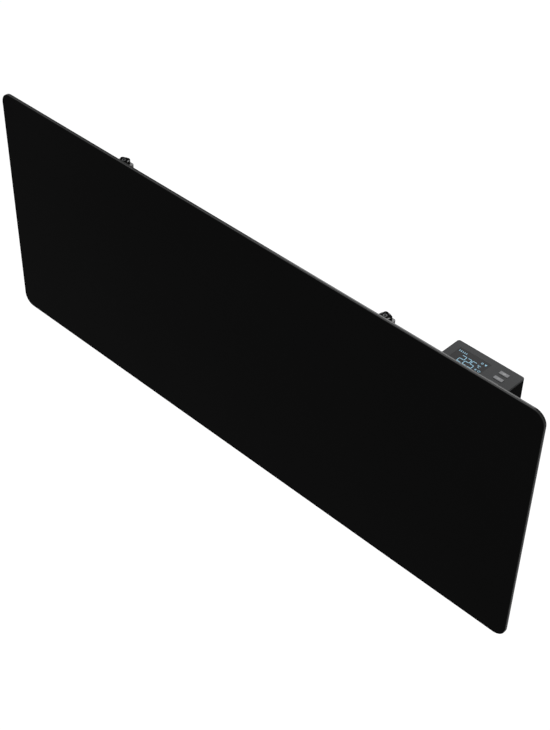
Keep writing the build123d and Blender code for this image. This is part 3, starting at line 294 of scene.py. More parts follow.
# %% Floor finish
pale = Finish("pale_floor")
pale_tone = pale.mix(pale.cloud(500.0), grey(236), grey(242))
matt = pale.node("ShaderNodeBsdfDiffuse", sockets={"Color": pale_tone})
thin = pale.node("ShaderNodeBsdfDiffuse", sockets={"Color": (FLOOR_SHADE,) * 3 + (1.0,)})
glow = pale.node("ShaderNodeEmission", sockets={"Color": grey(255), "Strength": FLOOR_GLOW})
shown = pale.node("ShaderNodeAddShader", sockets={0: thin, 1: glow})
share = seen_directly(pale)
pale.done(pale.node("ShaderNodeMixShader", sockets={0: share, 1: matt, 2: shown}))

floor_mesh = bpy.data.meshes.new("floor")
edges = (-FLOOR_REACH, FLOOR_REACH)
floor_corners = [(x, y, FLOOR_HEIGHT) for y in edges for x in edges]
floor_mesh.from_pydata(floor_corners, [], [(0, 1, 3, 2)])
floor_mesh.materials.append(pale.material)
floor = new_object("floor", floor_mesh)
print("floor at", FLOOR_HEIGHT, "m")

# %% [markdown]
# ## Black glass
# Each pane is dyed black, with a polished face and a ground edge. Both are one solid with one slot, so
# they can't wear two materials. The finish chooses by depth instead: on the large face it is polished,
# with smears and a little dust, and elsewhere it is the ground edge with fine lines along it.

# %% Pane finishes
PANEL_FRONT, PANEL_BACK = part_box("front_glass")[0].y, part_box("rear_glass")[1].y
FACE_SKIN = 0.03 * MM


def pane_finish(name, face_at, inward, face_level, face_specular, edge_level, edge_rough, edge_specular):
    """Polished face at depth face_at; inward is +1 when the pane lies behind that face."""
    finish = Finish(name)
    depth = finish.parts_of(finish.place)[1]
    on_edge = finish.ease((depth - face_at) * inward, 0.3 * FACE_SKIN, FACE_SKIN)
    smear = finish.cloud(160.0, 3.0)
    dust = finish.specks(6.0, 0.035)
    clean = finish.mix(smear, grey(face_level - 1.5), grey(face_level + 1.0))
    dusty = finish.mix(dust * 0.25, clean, grey(face_level + 18))
    face = finish.shader(dusty, 0.04 + smear * 0.05, face_specular)
    grinding = finish.cloud(1.2, 3.0, finish.stretched(0.04, 1.0, 0.04))
    edge_tone = finish.mix(grinding, grey(edge_level - 4), grey(edge_level + 4))
    ground = finish.lifted(grinding, 0.02)
    edge = finish.shader(edge_tone, edge_rough + grinding * 0.1, edge_specular, normal=ground)
    return finish.done(finish.node("ShaderNodeMixShader", sockets={0: on_edge, 1: face, 2: edge}))


FRONT_PANE = pane_finish(
    "black_front_pane", PANEL_FRONT, inward=1.0, face_level=19, face_specular=0.002,
    edge_level=38, edge_rough=0.5, edge_specular=0.12,
)
REAR_PANE = pane_finish(
    "black_rear_pane", PANEL_BACK, inward=-1.0, face_level=11, face_specular=0.02,
    edge_level=9, edge_rough=0.14, edge_specular=0.13,
)
print("panes: front at", round(PANEL_FRONT, 4), "back at", round(PANEL_BACK, 4))

# %% [markdown]
# ## Sheet steel and turned steel
# Rails and hooks are folded from sheet and powder coated: the powder melts into a skin with the dimples
# of orange peel. Screws, clips and jaws are zinc plated, with faint spangles and a bluish cast; a turned
# piece shows the lathe's rings. The spindles are blued, dark and duller. A plain grey would give the
# outline but not the metal. Two functions make them all: only tone, ring axis and roughness differ.

# %% Steel finishes
def powder_coat(name, level, cast=0):
    """Grey powder coat with orange peel and a little painted sparkle; cast is how much bluer than grey.
    """
    finish = Finish(name)
    peel = finish.cloud(1.1, 2.0)
    drift = finish.cloud(70.0, 3.0)
    painted_glints = finish.specks(0.9, 0.2)
    low, high = level - 4, level + 4
    base = finish.mix(drift, tone(low, low, low + cast), tone(high, high, high + cast))
    # painted glints: lighter specks that stand in for the coat's sparkle
    base = finish.mix(painted_glints * 0.35, base, grey(level + 26))
    skin = finish.lifted(peel, 0.05)
    return finish.done(finish.shader(base, 0.42 + peel * 0.14, 0.25, normal=skin))


def zinc_plate(name, level, rings_axis=None, rough=0.26):
    """Zinc plate; rings_axis names the axis that the lathe's rings stand across, if it was turned."""
    finish = Finish(name)
    spangle = finish.cloud(2.2, 3.0)
    wear = finish.ease(finish.cloud(9.0, 4.0), 0.62, 0.78)
    dull = tone(level - 14, level - 12, level - 8)
    bright = tone(level + 6, level + 6, level + 4)
    worn = tone(level - 20, level - 26, level - 36)
    base = finish.mix(wear * 0.4, finish.mix(spangle, dull, bright), worn)
    if rings_axis is None:
        texture = finish.cloud(0.6, 2.0)
    else:
        across = {axis: 1.0 if axis == rings_axis else 0.02 for axis in "xyz"}
        texture = finish.cloud(0.22, 1.0, finish.stretched(**across))
    skin = finish.lifted(texture, 0.01)
    return finish.done(finish.shader(base, rough + texture * 0.16, metallic=1.0, normal=skin))


RAIL_COAT = powder_coat("rail_powder_coat", 113)
HOOK_COAT = powder_coat("hook_powder_coat", 98, cast=2)
# its light grey is a painted highlight: the disc shows in the knobs' hollows, where they gleam
HIGHLIGHT_DISC_COAT = powder_coat("grip_disc_coat", 118)
ZINC_TURNED = zinc_plate("turned_zinc_screw", 196, "y")
ZINC_PRESSED = zinc_plate("pressed_zinc", 176)
BLUED_STEEL = zinc_plate("blued_socket_head", 66, "z", rough=0.5)
print("steel finishes ready")

# %% [markdown]
# ## Moulded pieces
# Mouldings take the skin of their tool. The box is spark eroded, a fine even grain; knobs and switch are
# nearly polished; nylon has a faint flow pattern; rubber is dull, with dust in its pores. A tree for each
# would say the same thing many times, so one function makes them all.

# %% Moulding finishes
def moulding(name, colour, rough, grain, depth, specular, bloom=0.0, flow=0.0):
    """Moulded surface: its grain is so wide and deep; bloom is dust or chalk, flow is streaks."""
    finish = Finish(name)
    pits = finish.cloud(grain, 3.0)
    patches = finish.cloud(30.0, 3.0)
    darker = tuple(0.86 * c for c in colour[:3]) + (1.0,)
    lighter = tuple(min(1.0, 1.12 * c + 0.0004) for c in colour[:3]) + (1.0,)
    base = finish.mix(patches, darker, lighter)
    if flow:
        streaks = finish.cloud(4.0, 3.0, finish.stretched(1.0, 1.0, 0.12))
        base = finish.mix(finish.ease(streaks, 0.5, 0.8) * flow, base, lighter)
    if bloom:
        chalk = finish.ease(finish.cloud(3.5, 4.0) + pits * 0.3, 0.66, 0.95)
        base = finish.mix(chalk * bloom, base, grey(118))
    skin = finish.lifted(pits, depth)
    return finish.done(finish.shader(base, rough + pits * 0.12, specular, normal=skin))


# name, colour, roughness, width and depth of the grain, specular level
BOX_PLASTIC = moulding("spark_eroded_black", grey(7), 0.5, 0.5, 0.03, 0.005)
FASCIA_PLASTIC = moulding("satin_fascia", tone(58, 59, 60), 0.5, 0.4, 0.012, 0.07)
BASE_PLASTIC = moulding("base_moulding", grey(24), 0.6, 0.7, 0.03, 0.1, flow=0.4)
KNOB_PLASTIC = moulding("knob_moulding", grey(2), 0.3, 0.6, 0.01, 0.004)
KEY_PLASTIC = moulding("key_moulding", tone(130, 131, 133), 0.5, 0.4, 0.012, 0.12)
WINDOW_ACRYLIC = moulding("smoked_window", tone(50, 50, 51), 0.3, 2.0, 0.003, 0.02)
SPACER_NYLON = moulding("spacer_nylon", grey(40), 0.5, 0.9, 0.02, 0.3, flow=0.5)
BUSH_NYLON = moulding("bush_nylon", tone(214, 210, 198), 0.42, 1.2, 0.01, 0.35, flow=0.6)
BUMPER_RUBBER = moulding("bumper_rubber", grey(34), 0.75, 0.8, 0.05, 0.15, bloom=0.35)
SEAL_RUBBER = moulding("seal_rubber", grey(30), 0.7, 0.8, 0.04, 0.15, bloom=0.2)
ADHESIVE = moulding("silicone_adhesive", grey(42), 0.55, 3.0, 0.1, 0.3)
GLAND_NYLON = moulding("gland_nylon", grey(36), 0.48, 0.6, 0.02, 0.3, flow=0.4)
SWITCH_PLASTIC = moulding("switch_moulding", grey(22), 0.22, 2.0, 0.004, 0.4)
RELAY_PLASTIC = moulding("relay_moulding", tone(52, 96, 160), 0.3, 1.0, 0.01, 0.4)
CAPACITOR_PLASTIC = moulding("capacitor_sleeve", tone(214, 176, 70), 0.32, 1.0, 0.01, 0.4)
TERMINAL_PLASTIC = moulding("terminal_moulding", tone(64, 140, 80), 0.4, 0.8, 0.01, 0.3)
LEAD_SILICONE = moulding("lead_insulation", tone(168, 50, 40), 0.5, 1.5, 0.02, 0.3)
MARK_PRINT = moulding("printed_mark", grey(190), 0.5, 0.3, 0.004, 0.1)
print("moulding finishes ready")

# %% [markdown]
# ## Electrical surfaces
# Inside the glass a carbon film is printed in fine stripes between two copper bars. Inside the box are a
# lacquered board with its tracks, thin laminations and a glass fuse. A picture of a real board would
# bring its maker's print along. Stripes and flecks at the real scale are enough for what is seen with
# the cover off.

# %% Striped finishes
def striped(name, period, axis, dark, light, rough, specular, metallic=0.0):
    """Two tones in regular stripes across one axis, a little uneven."""
    finish = Finish(name)
    along = finish.parts_of(finish.place)["xyz".index(axis)]
    wobble = finish.cloud(10.0, 2.0) * (0.15 * period * MM)
    wave = ((along + wobble) * (2 * math.pi / (period * MM))).math("SINE") * 0.5 + 0.5
    stripe = finish.ease(wave, 0.35, 0.65)
    fleck = finish.cloud(0.8, 2.0)
    base = finish.mix(stripe, finish.mix(fleck, dark, grey(20)), light)
    relief = finish.lifted(stripe, 0.03)
    return finish.done(finish.shader(base, rough + fleck * 0.15, specular, metallic, normal=relief))


# name, period, axis across the stripes, two tones, roughness, specular level, metal share
CARBON_FILM = striped("carbon_film", 6.0, "x", grey(18), grey(38), 0.5, 0.2)
COPPER_BAR = striped("copper_foil", 0.4, "z", tone(196, 122, 84), tone(224, 150, 108), 0.3, 0.5, 1.0)
LAMINATIONS = striped("steel_laminations", 0.5, "x", tone(74, 66, 52), tone(132, 120, 98), 0.4, 0.4)
BOARD_LACQUER = striped("board_lacquer", 2.5, "z", tone(22, 84, 50), tone(34, 108, 62), 0.25, 0.5)
BLADE_BRASS = striped("tinned_brass", 0.3, "x", tone(186, 172, 128), tone(208, 196, 158), 0.25, 0.5, 1.0)
print("striped finishes ready")

# %% Fuse and lit cells
FUSE_CAP = 5.0 * MM
CAP_EDGE = 0.1 * MM


def fuse_tube():
    """Clear glass between two plated caps."""
    finish = Finish("fuse_tube")
    low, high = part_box("fuse")
    across = finish.parts_of(finish.place)[0]
    middle = (low.x + high.x) / 2
    cap_start = (high.x - low.x) / 2 - FUSE_CAP
    on_cap = finish.ease((across - middle).math("ABSOLUTE"), cap_start - CAP_EDGE, cap_start)
    scuffs = finish.cloud(1.0, 2.0)
    clear = finish.shader(grey(235), 0.04 + scuffs * 0.05, Transmission_Weight=0.9)
    plated = finish.shader(tone(200, 198, 190), 0.25 + scuffs * 0.2, metallic=1.0)
    return finish.done(finish.node("ShaderNodeMixShader", sockets={0: on_cap, 1: clear, 2: plated}))


def lit_cells(dim, bright):
    """Lit cells of the display; their tone drifts a little from cell to cell."""
    finish = Finish("lit_cells")
    light = finish.mix(finish.cloud(4.0, 1.0), dim, bright)
    return finish.done(finish.shader(grey(20), 0.5, 0.1, Emission_Color=light, Emission_Strength=1.0))


FUSE_GLASS = fuse_tube()
LIT_CELL = lit_cells(tone(138, 188, 212), tone(168, 216, 238))
print("fuse and lit cells ready")

# %% [markdown]
# ## Dress the solids
# A solid whose shape is right keeps its mesh and only gets a better material. A line for each would do,
# but one table, grouped by finish, shows at a glance what wears what. A solid that isn't in it makes way
# for a finer piece further down.

# %% Finish table
SIDES = ("left", "right")


def both(stem):
    """The names of a piece that is on each rail."""
    return [f"{stem}_{side}" for side in SIDES]


WORN_BY = [
    (RAIL_COAT, both("hanging_rail")),
    (HOOK_COAT, both("wall_hook")),
    (ADHESIVE, both("rail_bond") + ["base_bond", "edge_seal"]),
    (SPACER_NYLON, both("lower_spacer")),
    (BUSH_NYLON, both("spindle_bush")),
    (ZINC_PRESSED, both("spindle_clip") + both("clamp_jaw") + ["thermal_cutout"]),
    (ZINC_TURNED, ["board_screws"]),
    (BOX_PLASTIC, ["control_cover"]),
    (FASCIA_PLASTIC, ["control_fascia"]),
    (BASE_PLASTIC, ["control_base"]),
    (WINDOW_ACRYLIC, ["display_window", "display_module"]),
    (KEY_PLASTIC, ["key_power", "key_up", "key_down"]),
    (GLAND_NYLON, ["gland_body", "gland_locknut"]),
    (SEAL_RUBBER, ["gland_seal"]),
    (SWITCH_PLASTIC, ["rocker_frame", "rocker", "key_switches", "fuse_holder", "room_sensor"]),
    (RELAY_PLASTIC, ["relay"]),
    (CAPACITOR_PLASTIC, ["capacitors"]),
    (TERMINAL_PLASTIC, ["terminal_block"]),
    (LEAD_SILICONE, ["film_leads"]),
    (CARBON_FILM, ["heating_film"]),
    (COPPER_BAR, ["busbar_upper", "busbar_lower"]),
    (LAMINATIONS, ["transformer"]),
    (BOARD_LACQUER, ["power_board", "display_board"]),
    (BLADE_BRASS, ["switch_blades"]),
    (FUSE_GLASS, ["fuse"]),
    (FRONT_PANE, ["front_glass"]),
    (REAR_PANE, ["rear_glass"]),
]
for material, names in WORN_BY:
    for name in names:
        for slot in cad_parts[name].material_slots:
            slot.material = material
print("dressed", sum(len(names) for material, names in WORN_BY), "of", len(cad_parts))

# %% [markdown]
# ## Forms from stacked rings
# Screws and spindles are turned, and their sockets broached. The Screw modifier turns a profile, but it
# can't make a hexagon socket in a round head. Seen along the axis, each level of such a piece is one
# closed curve, so one function stacks such curves and closes both ends. In a thread the radius depends on
# angle and height together, and that makes it a helix. The second cell puts each piece on its body, so
# that it moves along.

# %% Ring outlines
RING = 36


def hex_ring(across_flats):
    """Ring of a broached hexagon: its radius at an angle, at any height."""
    return lambda angle, height: across_flats / 2 / math.cos(angle % (math.pi / 3) - math.pi / 6)


FLANK_SLOPE = 1.35
CREST_FLAT = 0.18


def thread_ring(radius, depth, pitch):
    """Ring of a right-hand thread with flat crests: it climbs one pitch in one turn."""
    def at(angle, height):
        phase = (height / pitch - angle / (2 * math.pi)) % 1.0
        return radius - depth * min(1.0, max(0.0, FLANK_SLOPE * abs(2 * phase - 1) - CREST_FLAT))
    return at


def thread_levels(start, end, pitch, ring, rows=8):
    """Levels of a threaded length, rows to each pitch."""
    count = math.ceil((end - start) / pitch * rows)
    return [(start + (end - start) * row / count, ring) for row in range(count + 1)]


def stacked(levels, hollow=False):
    """Points and faces of a stack; a level is a height and a radius or a ring. A hollow stack closes
    on its first level."""
    points = []
    for height, ring in levels:
        for step in range(RING):
            angle = 2 * math.pi * step / RING
            radius = ring(angle, height) if callable(ring) else ring
            points.append(Vector((radius * math.cos(angle), radius * math.sin(angle), height)))
    faces = []
    for level in range(len(levels) if hollow else len(levels) - 1):
        low, high = level * RING, (level + 1) % len(levels) * RING
        for step in range(RING):
            after = (step + 1) % RING
            faces.append((low + step, low + after, high + after, high + step))
    if not hollow:
        last = (len(levels) - 1) * RING
        faces.append(tuple(reversed(range(RING))))
        faces.append(tuple(range(last, last + RING)))
    return points, faces


print("each ring has", RING, "points")

# %% Meshes and pieces
SHARP = math.radians(35)


def mesh_of(name, points, faces, edges=()):
    """A mesh from points and faces, smooth except over sharp edges."""
    mesh = bpy.data.meshes.new(name)
    mesh.from_pydata(points, edges, faces)
    if faces:
        mesh.shade_smooth()
        mesh.set_sharp_from_angle(angle=SHARP)
    return mesh


def piece_of(name, mesh, body, stands_for=()):
    """Put a finished mesh into the scene, on its body, in the place of the solids that it refines."""
    piece = new_object(name, mesh)
    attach(piece, body)
    if stands_for:
        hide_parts(*stands_for)
    print(name, "on", body, len(mesh.polygons), "faces")


def middle_of(node):
    """The middle of a solid's box."""
    low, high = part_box(node)
    return (low + high) / 2


def upright_axis(node):
    """The matrix that carries a stack to a solid's upright axis."""
    middle = middle_of(node)
    return Matrix.Translation((middle.x, middle.y, 0))


def stacked_piece(name, levels, place, finish, body, stands_for=(), hollow=False):
    """Stack the levels, carry them to their place, and put the piece on its body."""
    points, faces = stacked(levels, hollow)
    mesh = mesh_of(name, [place @ point for point in points], faces)
    mesh.materials.append(finish)
    piece_of(name, mesh, body, stands_for)


print("piece helpers ready")

# %% [markdown]
# ## Clamp spindles
# Each spindle is a cap screw, 5 mm across with a 0.8 mm pitch. Its thread is rolled, so it stands at the
# shank's own diameter, and the jaw climbs it. A bump would draw the thread but leave the outline
# straight, so the rings cut it for real. A broached socket takes the key that frees a stuck knob.

# %% Threaded spindles
THREAD_DEPTH = 0.42 * MM
THREAD_PITCH = 0.8 * MM
THREAD_TOP = 60.0 * MM
POINT_BEVEL = 0.6 * MM
HEAD_HEIGHT = 1.3 * MM
HEAD_OVERHANG = 0.4 * MM
HEAD_BEVEL = 0.22 * MM
SOCKET_FLATS = 3.0 * MM
SOCKET_FLOOR = 0.1 * MM

for side in SIDES:
    low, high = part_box(f"clamp_spindle_{side}")
    clip_low, clip_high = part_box(f"spindle_clip_{side}")
    head_radius = (high.x - low.x) / 2
    shank = head_radius - HEAD_OVERHANG
    core = shank - THREAD_DEPTH
    thread = thread_ring(shank, THREAD_DEPTH, THREAD_PITCH)
    socket = hex_ring(SOCKET_FLATS)
    head_low = high.z - HEAD_HEIGHT
    levels = [
        (low.z, shank - POINT_BEVEL),
        *thread_levels(low.z + POINT_BEVEL, THREAD_TOP, THREAD_PITCH, thread),
        (THREAD_TOP + POINT_BEVEL, shank), (clip_low.z, shank), (clip_low.z, core),
        (clip_high.z, core), (clip_high.z, shank), (head_low, shank), (head_low, head_radius),
        (high.z - HEAD_BEVEL, head_radius), (high.z, head_radius - HEAD_BEVEL),
        (high.z, socket), (head_low + SOCKET_FLOOR, socket),
    ]
    stacked_piece(
        f"threaded_spindle_{side}", levels, upright_axis(f"clamp_spindle_{side}"), BLUED_STEEL,
        f"knob_{side}", [f"clamp_spindle_{side}"],
    )

# %% [markdown]
# ## Forms grown by Geometry Nodes
# What repeats, follows a line or obeys one rule is grown by a node tree with named inputs: the knob's
# outline, the weld beads, and small shapes laid out at many places. A Python loop could write the same
# points, but a tree's inputs can be turned by hand, and the form follows at once. Each tree runs once
# here, and its result is kept as a plain mesh.

# %% Form trees
class Form(Tree):
    """A geometry tree; its inputs are names with their kinds."""

    def __init__(self, name, inputs):
        group = bpy.data.node_groups.new(name, "GeometryNodeTree")
        super().__init__(group)
        for label, kind in {"Geometry": "Geometry", "Finish": "Material", **inputs}.items():
            group.interface.new_socket(label, in_out="INPUT", socket_type=f"NodeSocket{kind}")
        group.interface.new_socket("Geometry", in_out="OUTPUT", socket_type="NodeSocketGeometry")
        entry = group.nodes.new("NodeGroupInput")
        self.given = {socket.name: Flow(self, socket) for socket in entry.outputs if socket.name}

    def attribute(self, name):
        """A vector that each start point carries."""
        kind = {"data_type": "FLOAT_VECTOR"}
        return self.node("GeometryNodeInputNamedAttribute", kind, {"Name": name}, "Attribute")

    def end(self, geometry):
        """Close the tree: real geometry in the given finish."""
        real = self.node("GeometryNodeRealizeInstances", sockets={"Geometry": geometry})
        sockets = {"Geometry": real, "Material": self.given["Finish"]}
        worn = self.node("GeometryNodeSetMaterial", sockets=sockets)
        self.node("NodeGroupOutput", sockets={"Geometry": worn})


def grown(name, form, start, settings):
    """Run a form on a start mesh and return the plain mesh that it gives."""
    seed = new_object(name, start)
    step = seed.modifiers.new("form", "NODES")
    step.node_group = form.node_tree
    for item in form.node_tree.interface.items_tree:
        if item.name in settings:
            step[item.identifier] = settings[item.name]
    graph = bpy.context.evaluated_depsgraph_get()
    mesh = bpy.data.meshes.new_from_object(seed.evaluated_get(graph))
    bpy.data.objects.remove(seed)
    mesh.name = name
    mesh.set_sharp_from_angle(angle=SHARP)
    return mesh


print("form class ready")

# %% [markdown]
# ## Clamping knobs
# Four round lobes on a round core, blended by a smooth maximum: that is how the mould was cut. Cylinders
# joined by a Boolean would meet in sharp creases instead of soft hollows, so a tree bends a plain drum
# into this form and rolls its top edge over a quarter circle, for a thumb to slide over. A thin light
# grey disc shows in the hollows; its grey is a painted highlight, standing in for the gleam of the
# hollows.

# %% Knob form
STRAIGHT_SHARE = 0.6


def knob_form():
    """Tree that bends a unit drum into a lobed knob with a rolled top edge."""
    names = ("Reach", "Lobe", "Core", "Blend", "Roll", "Height", "Lobes", "Turn", "X", "Y", "Z")
    form = Form("lobed_knob", {name: "Float" for name in names})
    given = form.given
    drum = form.node(
        "GeometryNodeMeshCylinder", {"fill_type": "TRIANGLE_FAN"},
        {"Vertices": 160, "Side Segments": 25, "Fill Segments": 8, "Depth": 1.0}, "Mesh",
    )
    x, y, z = form.parts_of(form.node("GeometryNodeInputPosition"))
    # outline: how far the lobes and the core reach in the direction of each point
    sector = 2 * math.pi / given["Lobes"]
    turned = y.math("ARCTAN2", x) - given["Turn"] + sector * 0.5
    swing = turned.math("FLOORED_MODULO", sector) - sector * 0.5
    arm = given["Reach"] - given["Lobe"]
    sway = arm * swing.math("SINE")
    chord = (given["Lobe"] * given["Lobe"] - sway * sway).math("MAXIMUM", 0.0).math("SQRT")
    lobe = arm * swing.math("COSINE") + chord
    outline = lobe.math("SMOOTH_MAX", given["Core"], given["Blend"])
    # height: a straight wall first, then a quarter circle that rolls the edge inward
    rise = z + 0.5
    bend = ((rise - STRAIGHT_SHARE) / (1 - STRAIGHT_SHARE)).math("MAXIMUM", 0.0) * (math.pi / 2)
    straight = (rise / STRAIGHT_SHARE).math("MINIMUM", 1.0) * (given["Height"] - given["Roll"])
    side = outline - given["Roll"] * (1.0 - bend.math("COSINE"))
    level = given["Z"] + straight + given["Roll"] * bend.math("SINE")
    sockets = {0: given["X"] + x * side, 1: given["Y"] + y * side, 2: level}
    place = form.node("ShaderNodeCombineXYZ", sockets=sockets)
    bent = form.node("GeometryNodeSetPosition", sockets={"Geometry": drum, "Position": place})
    form.end(form.node("GeometryNodeSetShadeSmooth", sockets={"Geometry": bent}))
    return form


KNOB_FORM = knob_form()
print("knob form has", len(KNOB_FORM.node_tree.nodes), "nodes")

# %% Highlight discs: light grey that paints the gleam in the knobs' hollows
DISC_RADIUS = 7.8 * MM
DISC_ROLL = 0.15 * MM
DISC_DROP = 0.3 * MM
DISC_THICKNESS = 0.7 * MM


def highlight_disc(side):
    """The light grey disc in the hollows of one knob, a painted highlight, as a piece that turns with it.
    """
    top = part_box(f"clamp_knob_{side}")[1].z - DISC_DROP
    low = top - DISC_THICKNESS
    rolled = DISC_RADIUS - DISC_ROLL
    disc = [(low, rolled), (low + DISC_ROLL, DISC_RADIUS), (top - DISC_ROLL, DISC_RADIUS), (top, rolled)]
    on_axis = upright_axis(f"clamp_spindle_{side}")
    # the disc's light grey is a painted highlight in the hollows
    stacked_piece(f"grip_disc_{side}", disc, on_axis, HIGHLIGHT_DISC_COAT, f"knob_{side}")


print("grip discs are", DISC_THICKNESS / MM, "mm thin")

# %% Lobed knobs
LOBE_TURN = {"left": math.radians(67), "right": math.radians(31)}
KNOB_SETTINGS = {
    "Reach": 9.2 * MM, "Lobe": 3.6 * MM, "Core": 6.5 * MM, "Blend": 1.6 * MM, "Roll": 1.3 * MM,
    "Lobes": 4.0, "Finish": KNOB_PLASTIC,
}
for side in SIDES:
    low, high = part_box(f"clamp_knob_{side}")
    axis = middle_of(f"clamp_spindle_{side}")
    placed = {"Height": high.z - low.z, "Turn": LOBE_TURN[side], "X": axis.x, "Y": axis.y, "Z": low.z}
    start = mesh_of("nothing", [Vector()], [])
    knob_mesh = grown("lobed_knob", KNOB_FORM, start, {**KNOB_SETTINGS, **placed})
    piece_of(f"lobed_knob_{side}", knob_mesh, f"knob_{side}", [f"clamp_knob_{side}"])
    highlight_disc(side)

# %% [markdown]
# ## One shape at many places
# Lit segments, key marks and screws are each one small shape, laid out again and again. Each copy could
# be an object of its own, but dozens of objects are hard to handle. So a tree lays them out as one
# piece, and every start point carries how its copy turns and stretches.

# %% Layout form
def layout_form():
    """Tree that puts a turned and stretched copy of a shape on every start point."""
    form = Form("laid_out", {"Shape": "Object"})
    given = form.given
    shape = form.node("GeometryNodeObjectInfo", sockets={"Object": given["Shape"]}, output="Geometry")
    sockets = {
        "Points": given["Geometry"], "Instance": shape,
        "Rotation": form.attribute("aim"), "Scale": form.attribute("size"),
    }
    form.end(form.node("GeometryNodeInstanceOnPoints", sockets=sockets))
    return form


LAYOUT_FORM = layout_form()


def laid_out(name, shape_mesh, spots, finish):
    """Mesh of copies of a shape; a spot is (place, turn about each axis, stretch along each axis)."""
    start = mesh_of(name, [place for place, aim, size in spots], [])
    for label, index in (("aim", 1), ("size", 2)):
        carried = start.attributes.new(label, "FLOAT_VECTOR", "POINT")
        for spot, entry in zip(spots, carried.data):
            entry.vector = spot[index]
    shape = new_object("shape", shape_mesh)
    mesh = grown(name, LAYOUT_FORM, start, {"Shape": shape, "Finish": finish})
    bpy.data.objects.remove(shape)
    return mesh


print("layout form has", len(LAYOUT_FORM.node_tree.nodes), "nodes")

# %% [markdown]
# ## The display
# Three seven-segment digits show 22.5, with a unit mark beside them. A row of mode bars and two small
# signs stand above, a star and a clock below. A picture on the window would blur close by, so each cell
# is a small bar that gives its own light. The digits' tops point to the wall, so that they read for
# whoever stands at the heater.

# %% Bars, arcs and stars
CELL_RISE = 0.05 * MM
CELL_SINK = 0.03 * MM


def bar_shape():
    """Unit bar with pointed ends; it stands on its base."""
    outline = ((-0.5, 0), (-0.4, -0.5), (0.4, -0.5), (0.5, 0), (0.4, 0.5), (-0.4, 0.5))
    corners = [Vector((x, y, z)) for z in (0, 1) for x, y in outline]
    count = len(outline)
    afters = [(step + 1) % count for step in range(count)]
    faces = [(step, after, after + count, step + count) for step, after in enumerate(afters)]
    faces += [tuple(reversed(range(count))), tuple(range(count, 2 * count))]
    return mesh_of("bar", corners, faces)


def cell(ground, x0, y0, x1, y1, stroke):
    """Spot of a bar between two points in millimetres; ground carries their plane to its place."""
    start, end = Vector((x0, y0, 0)) * MM, Vector((x1, y1, 0)) * MM
    along = end - start
    spun = Matrix.Rotation(math.atan2(along.y, along.x), 4, "Z")
    place, turn, _ = (ground @ Matrix.Translation((start + end) / 2) @ spun).decompose()
    return place, turn.to_euler(), (along.length, stroke * MM, CELL_SINK + CELL_RISE)


def path_of_cells(ground, corners, stroke):
    """Spots of bars that join one corner to the next."""
    return [cell(ground, *a, *b, stroke) for a, b in zip(corners, corners[1:])]


def arc_of_cells(ground, x, y, radius, stroke, start=0, end=360, count=10):
    """Spots of short bars along an arc, from start to end degrees."""
    angles = [math.radians(start + (end - start) * step / count) for step in range(count + 1)]
    corners = [(x + radius * math.cos(angle), y + radius * math.sin(angle)) for angle in angles]
    return path_of_cells(ground, corners, stroke)


def star_of_cells(ground, x, y, radius, stroke, bars=3):
    """Spots of bars that cross in one point."""
    spots = []
    for index in range(bars):
        angle = math.pi * (index + 0.25) / bars
        reach_x, reach_y = radius * math.cos(angle), radius * math.sin(angle)
        spots.append(cell(ground, x - reach_x, y - reach_y, x + reach_x, y + reach_y, stroke))
    return spots


print("cells rise", CELL_RISE / MM, "mm")

# %% Digits
# a digit is one run through six corners; column 0 is the left one, and row 0 is the top one
DIGIT_RUNS = {
    "2": ((0, 0), (1, 0), (1, 1), (0, 1), (0, 2), (1, 2)),
    "5": ((1, 0), (0, 0), (0, 1), (1, 1), (1, 2), (0, 2)),
}
DIGIT_ROWS = (-23.0, -29.4, -35.5)
STROKE = 0.8


def digit_of_cells(ground, digit, left, right):
    """Spots of the lit segments of one digit between its left and right edge."""
    columns = (left + STROKE / 2, right - STROKE / 2)
    corners = [(columns[column], DIGIT_ROWS[row]) for column, row in DIGIT_RUNS[digit]]
    return path_of_cells(ground, corners, STROKE)


print("digits are", DIGIT_ROWS[0] - DIGIT_ROWS[-1], "mm high")

# %% Lit cells
# digits: sign, left and right edge; bars: both ends and stroke; arcs: middle, radius, stroke, start, end
# and count; all in millimetres and degrees, as they lie in the window
DIGITS = (("2", 352.1, 359.3), ("2", 360.6, 367.0), ("5", 368.0, 374.6))
DECIMAL_POINT = (366.9, -36.0, 368.1, -36.0, 1.2)
MODE_BARS = [(x, -19.4, x, -16.8, 0.9) for x in (344.0, 346.6, 349.2, 351.8, 354.4)]
WEDGE_BARS = [(383.9, -20.0, 382.5 + 0.7 * blade, -17.0, 0.6) for blade in range(5)]
CLOCK_HANDS = [(384.6, -33.0, 384.6, -31.9, 0.3), (384.6, -33.0, 385.4, -33.0, 0.3)]
UNIT_RING = (377.6, -24.6, 0.8, 0.4, 0, 360, 8)
UNIT_ARC = (380.1, -26.4, 1.8, 0.55, 50, 310, 7)
RING_SIGN = (378.7, -18.4, 1.2, 0.6)
CLOCK_RIM = (384.6, -33.0, 1.7, 0.4)
STAR_SIGN = (379.6, -33.0, 1.9, 0.35)

window = Matrix.Translation((0, 0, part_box("display_window")[1].z - CELL_SINK))
display_spots = star_of_cells(window, *STAR_SIGN)
for digit in DIGITS:
    display_spots += digit_of_cells(window, *digit)
for bar in (DECIMAL_POINT, *MODE_BARS, *WEDGE_BARS, *CLOCK_HANDS):
    display_spots.append(cell(window, *bar))
for arc in (UNIT_RING, UNIT_ARC, RING_SIGN, CLOCK_RIM):
    display_spots += arc_of_cells(window, *arc)
cells_mesh = laid_out("lit_cells", bar_shape(), display_spots, LIT_CELL)
piece_of("lit_cells", cells_mesh, "root")

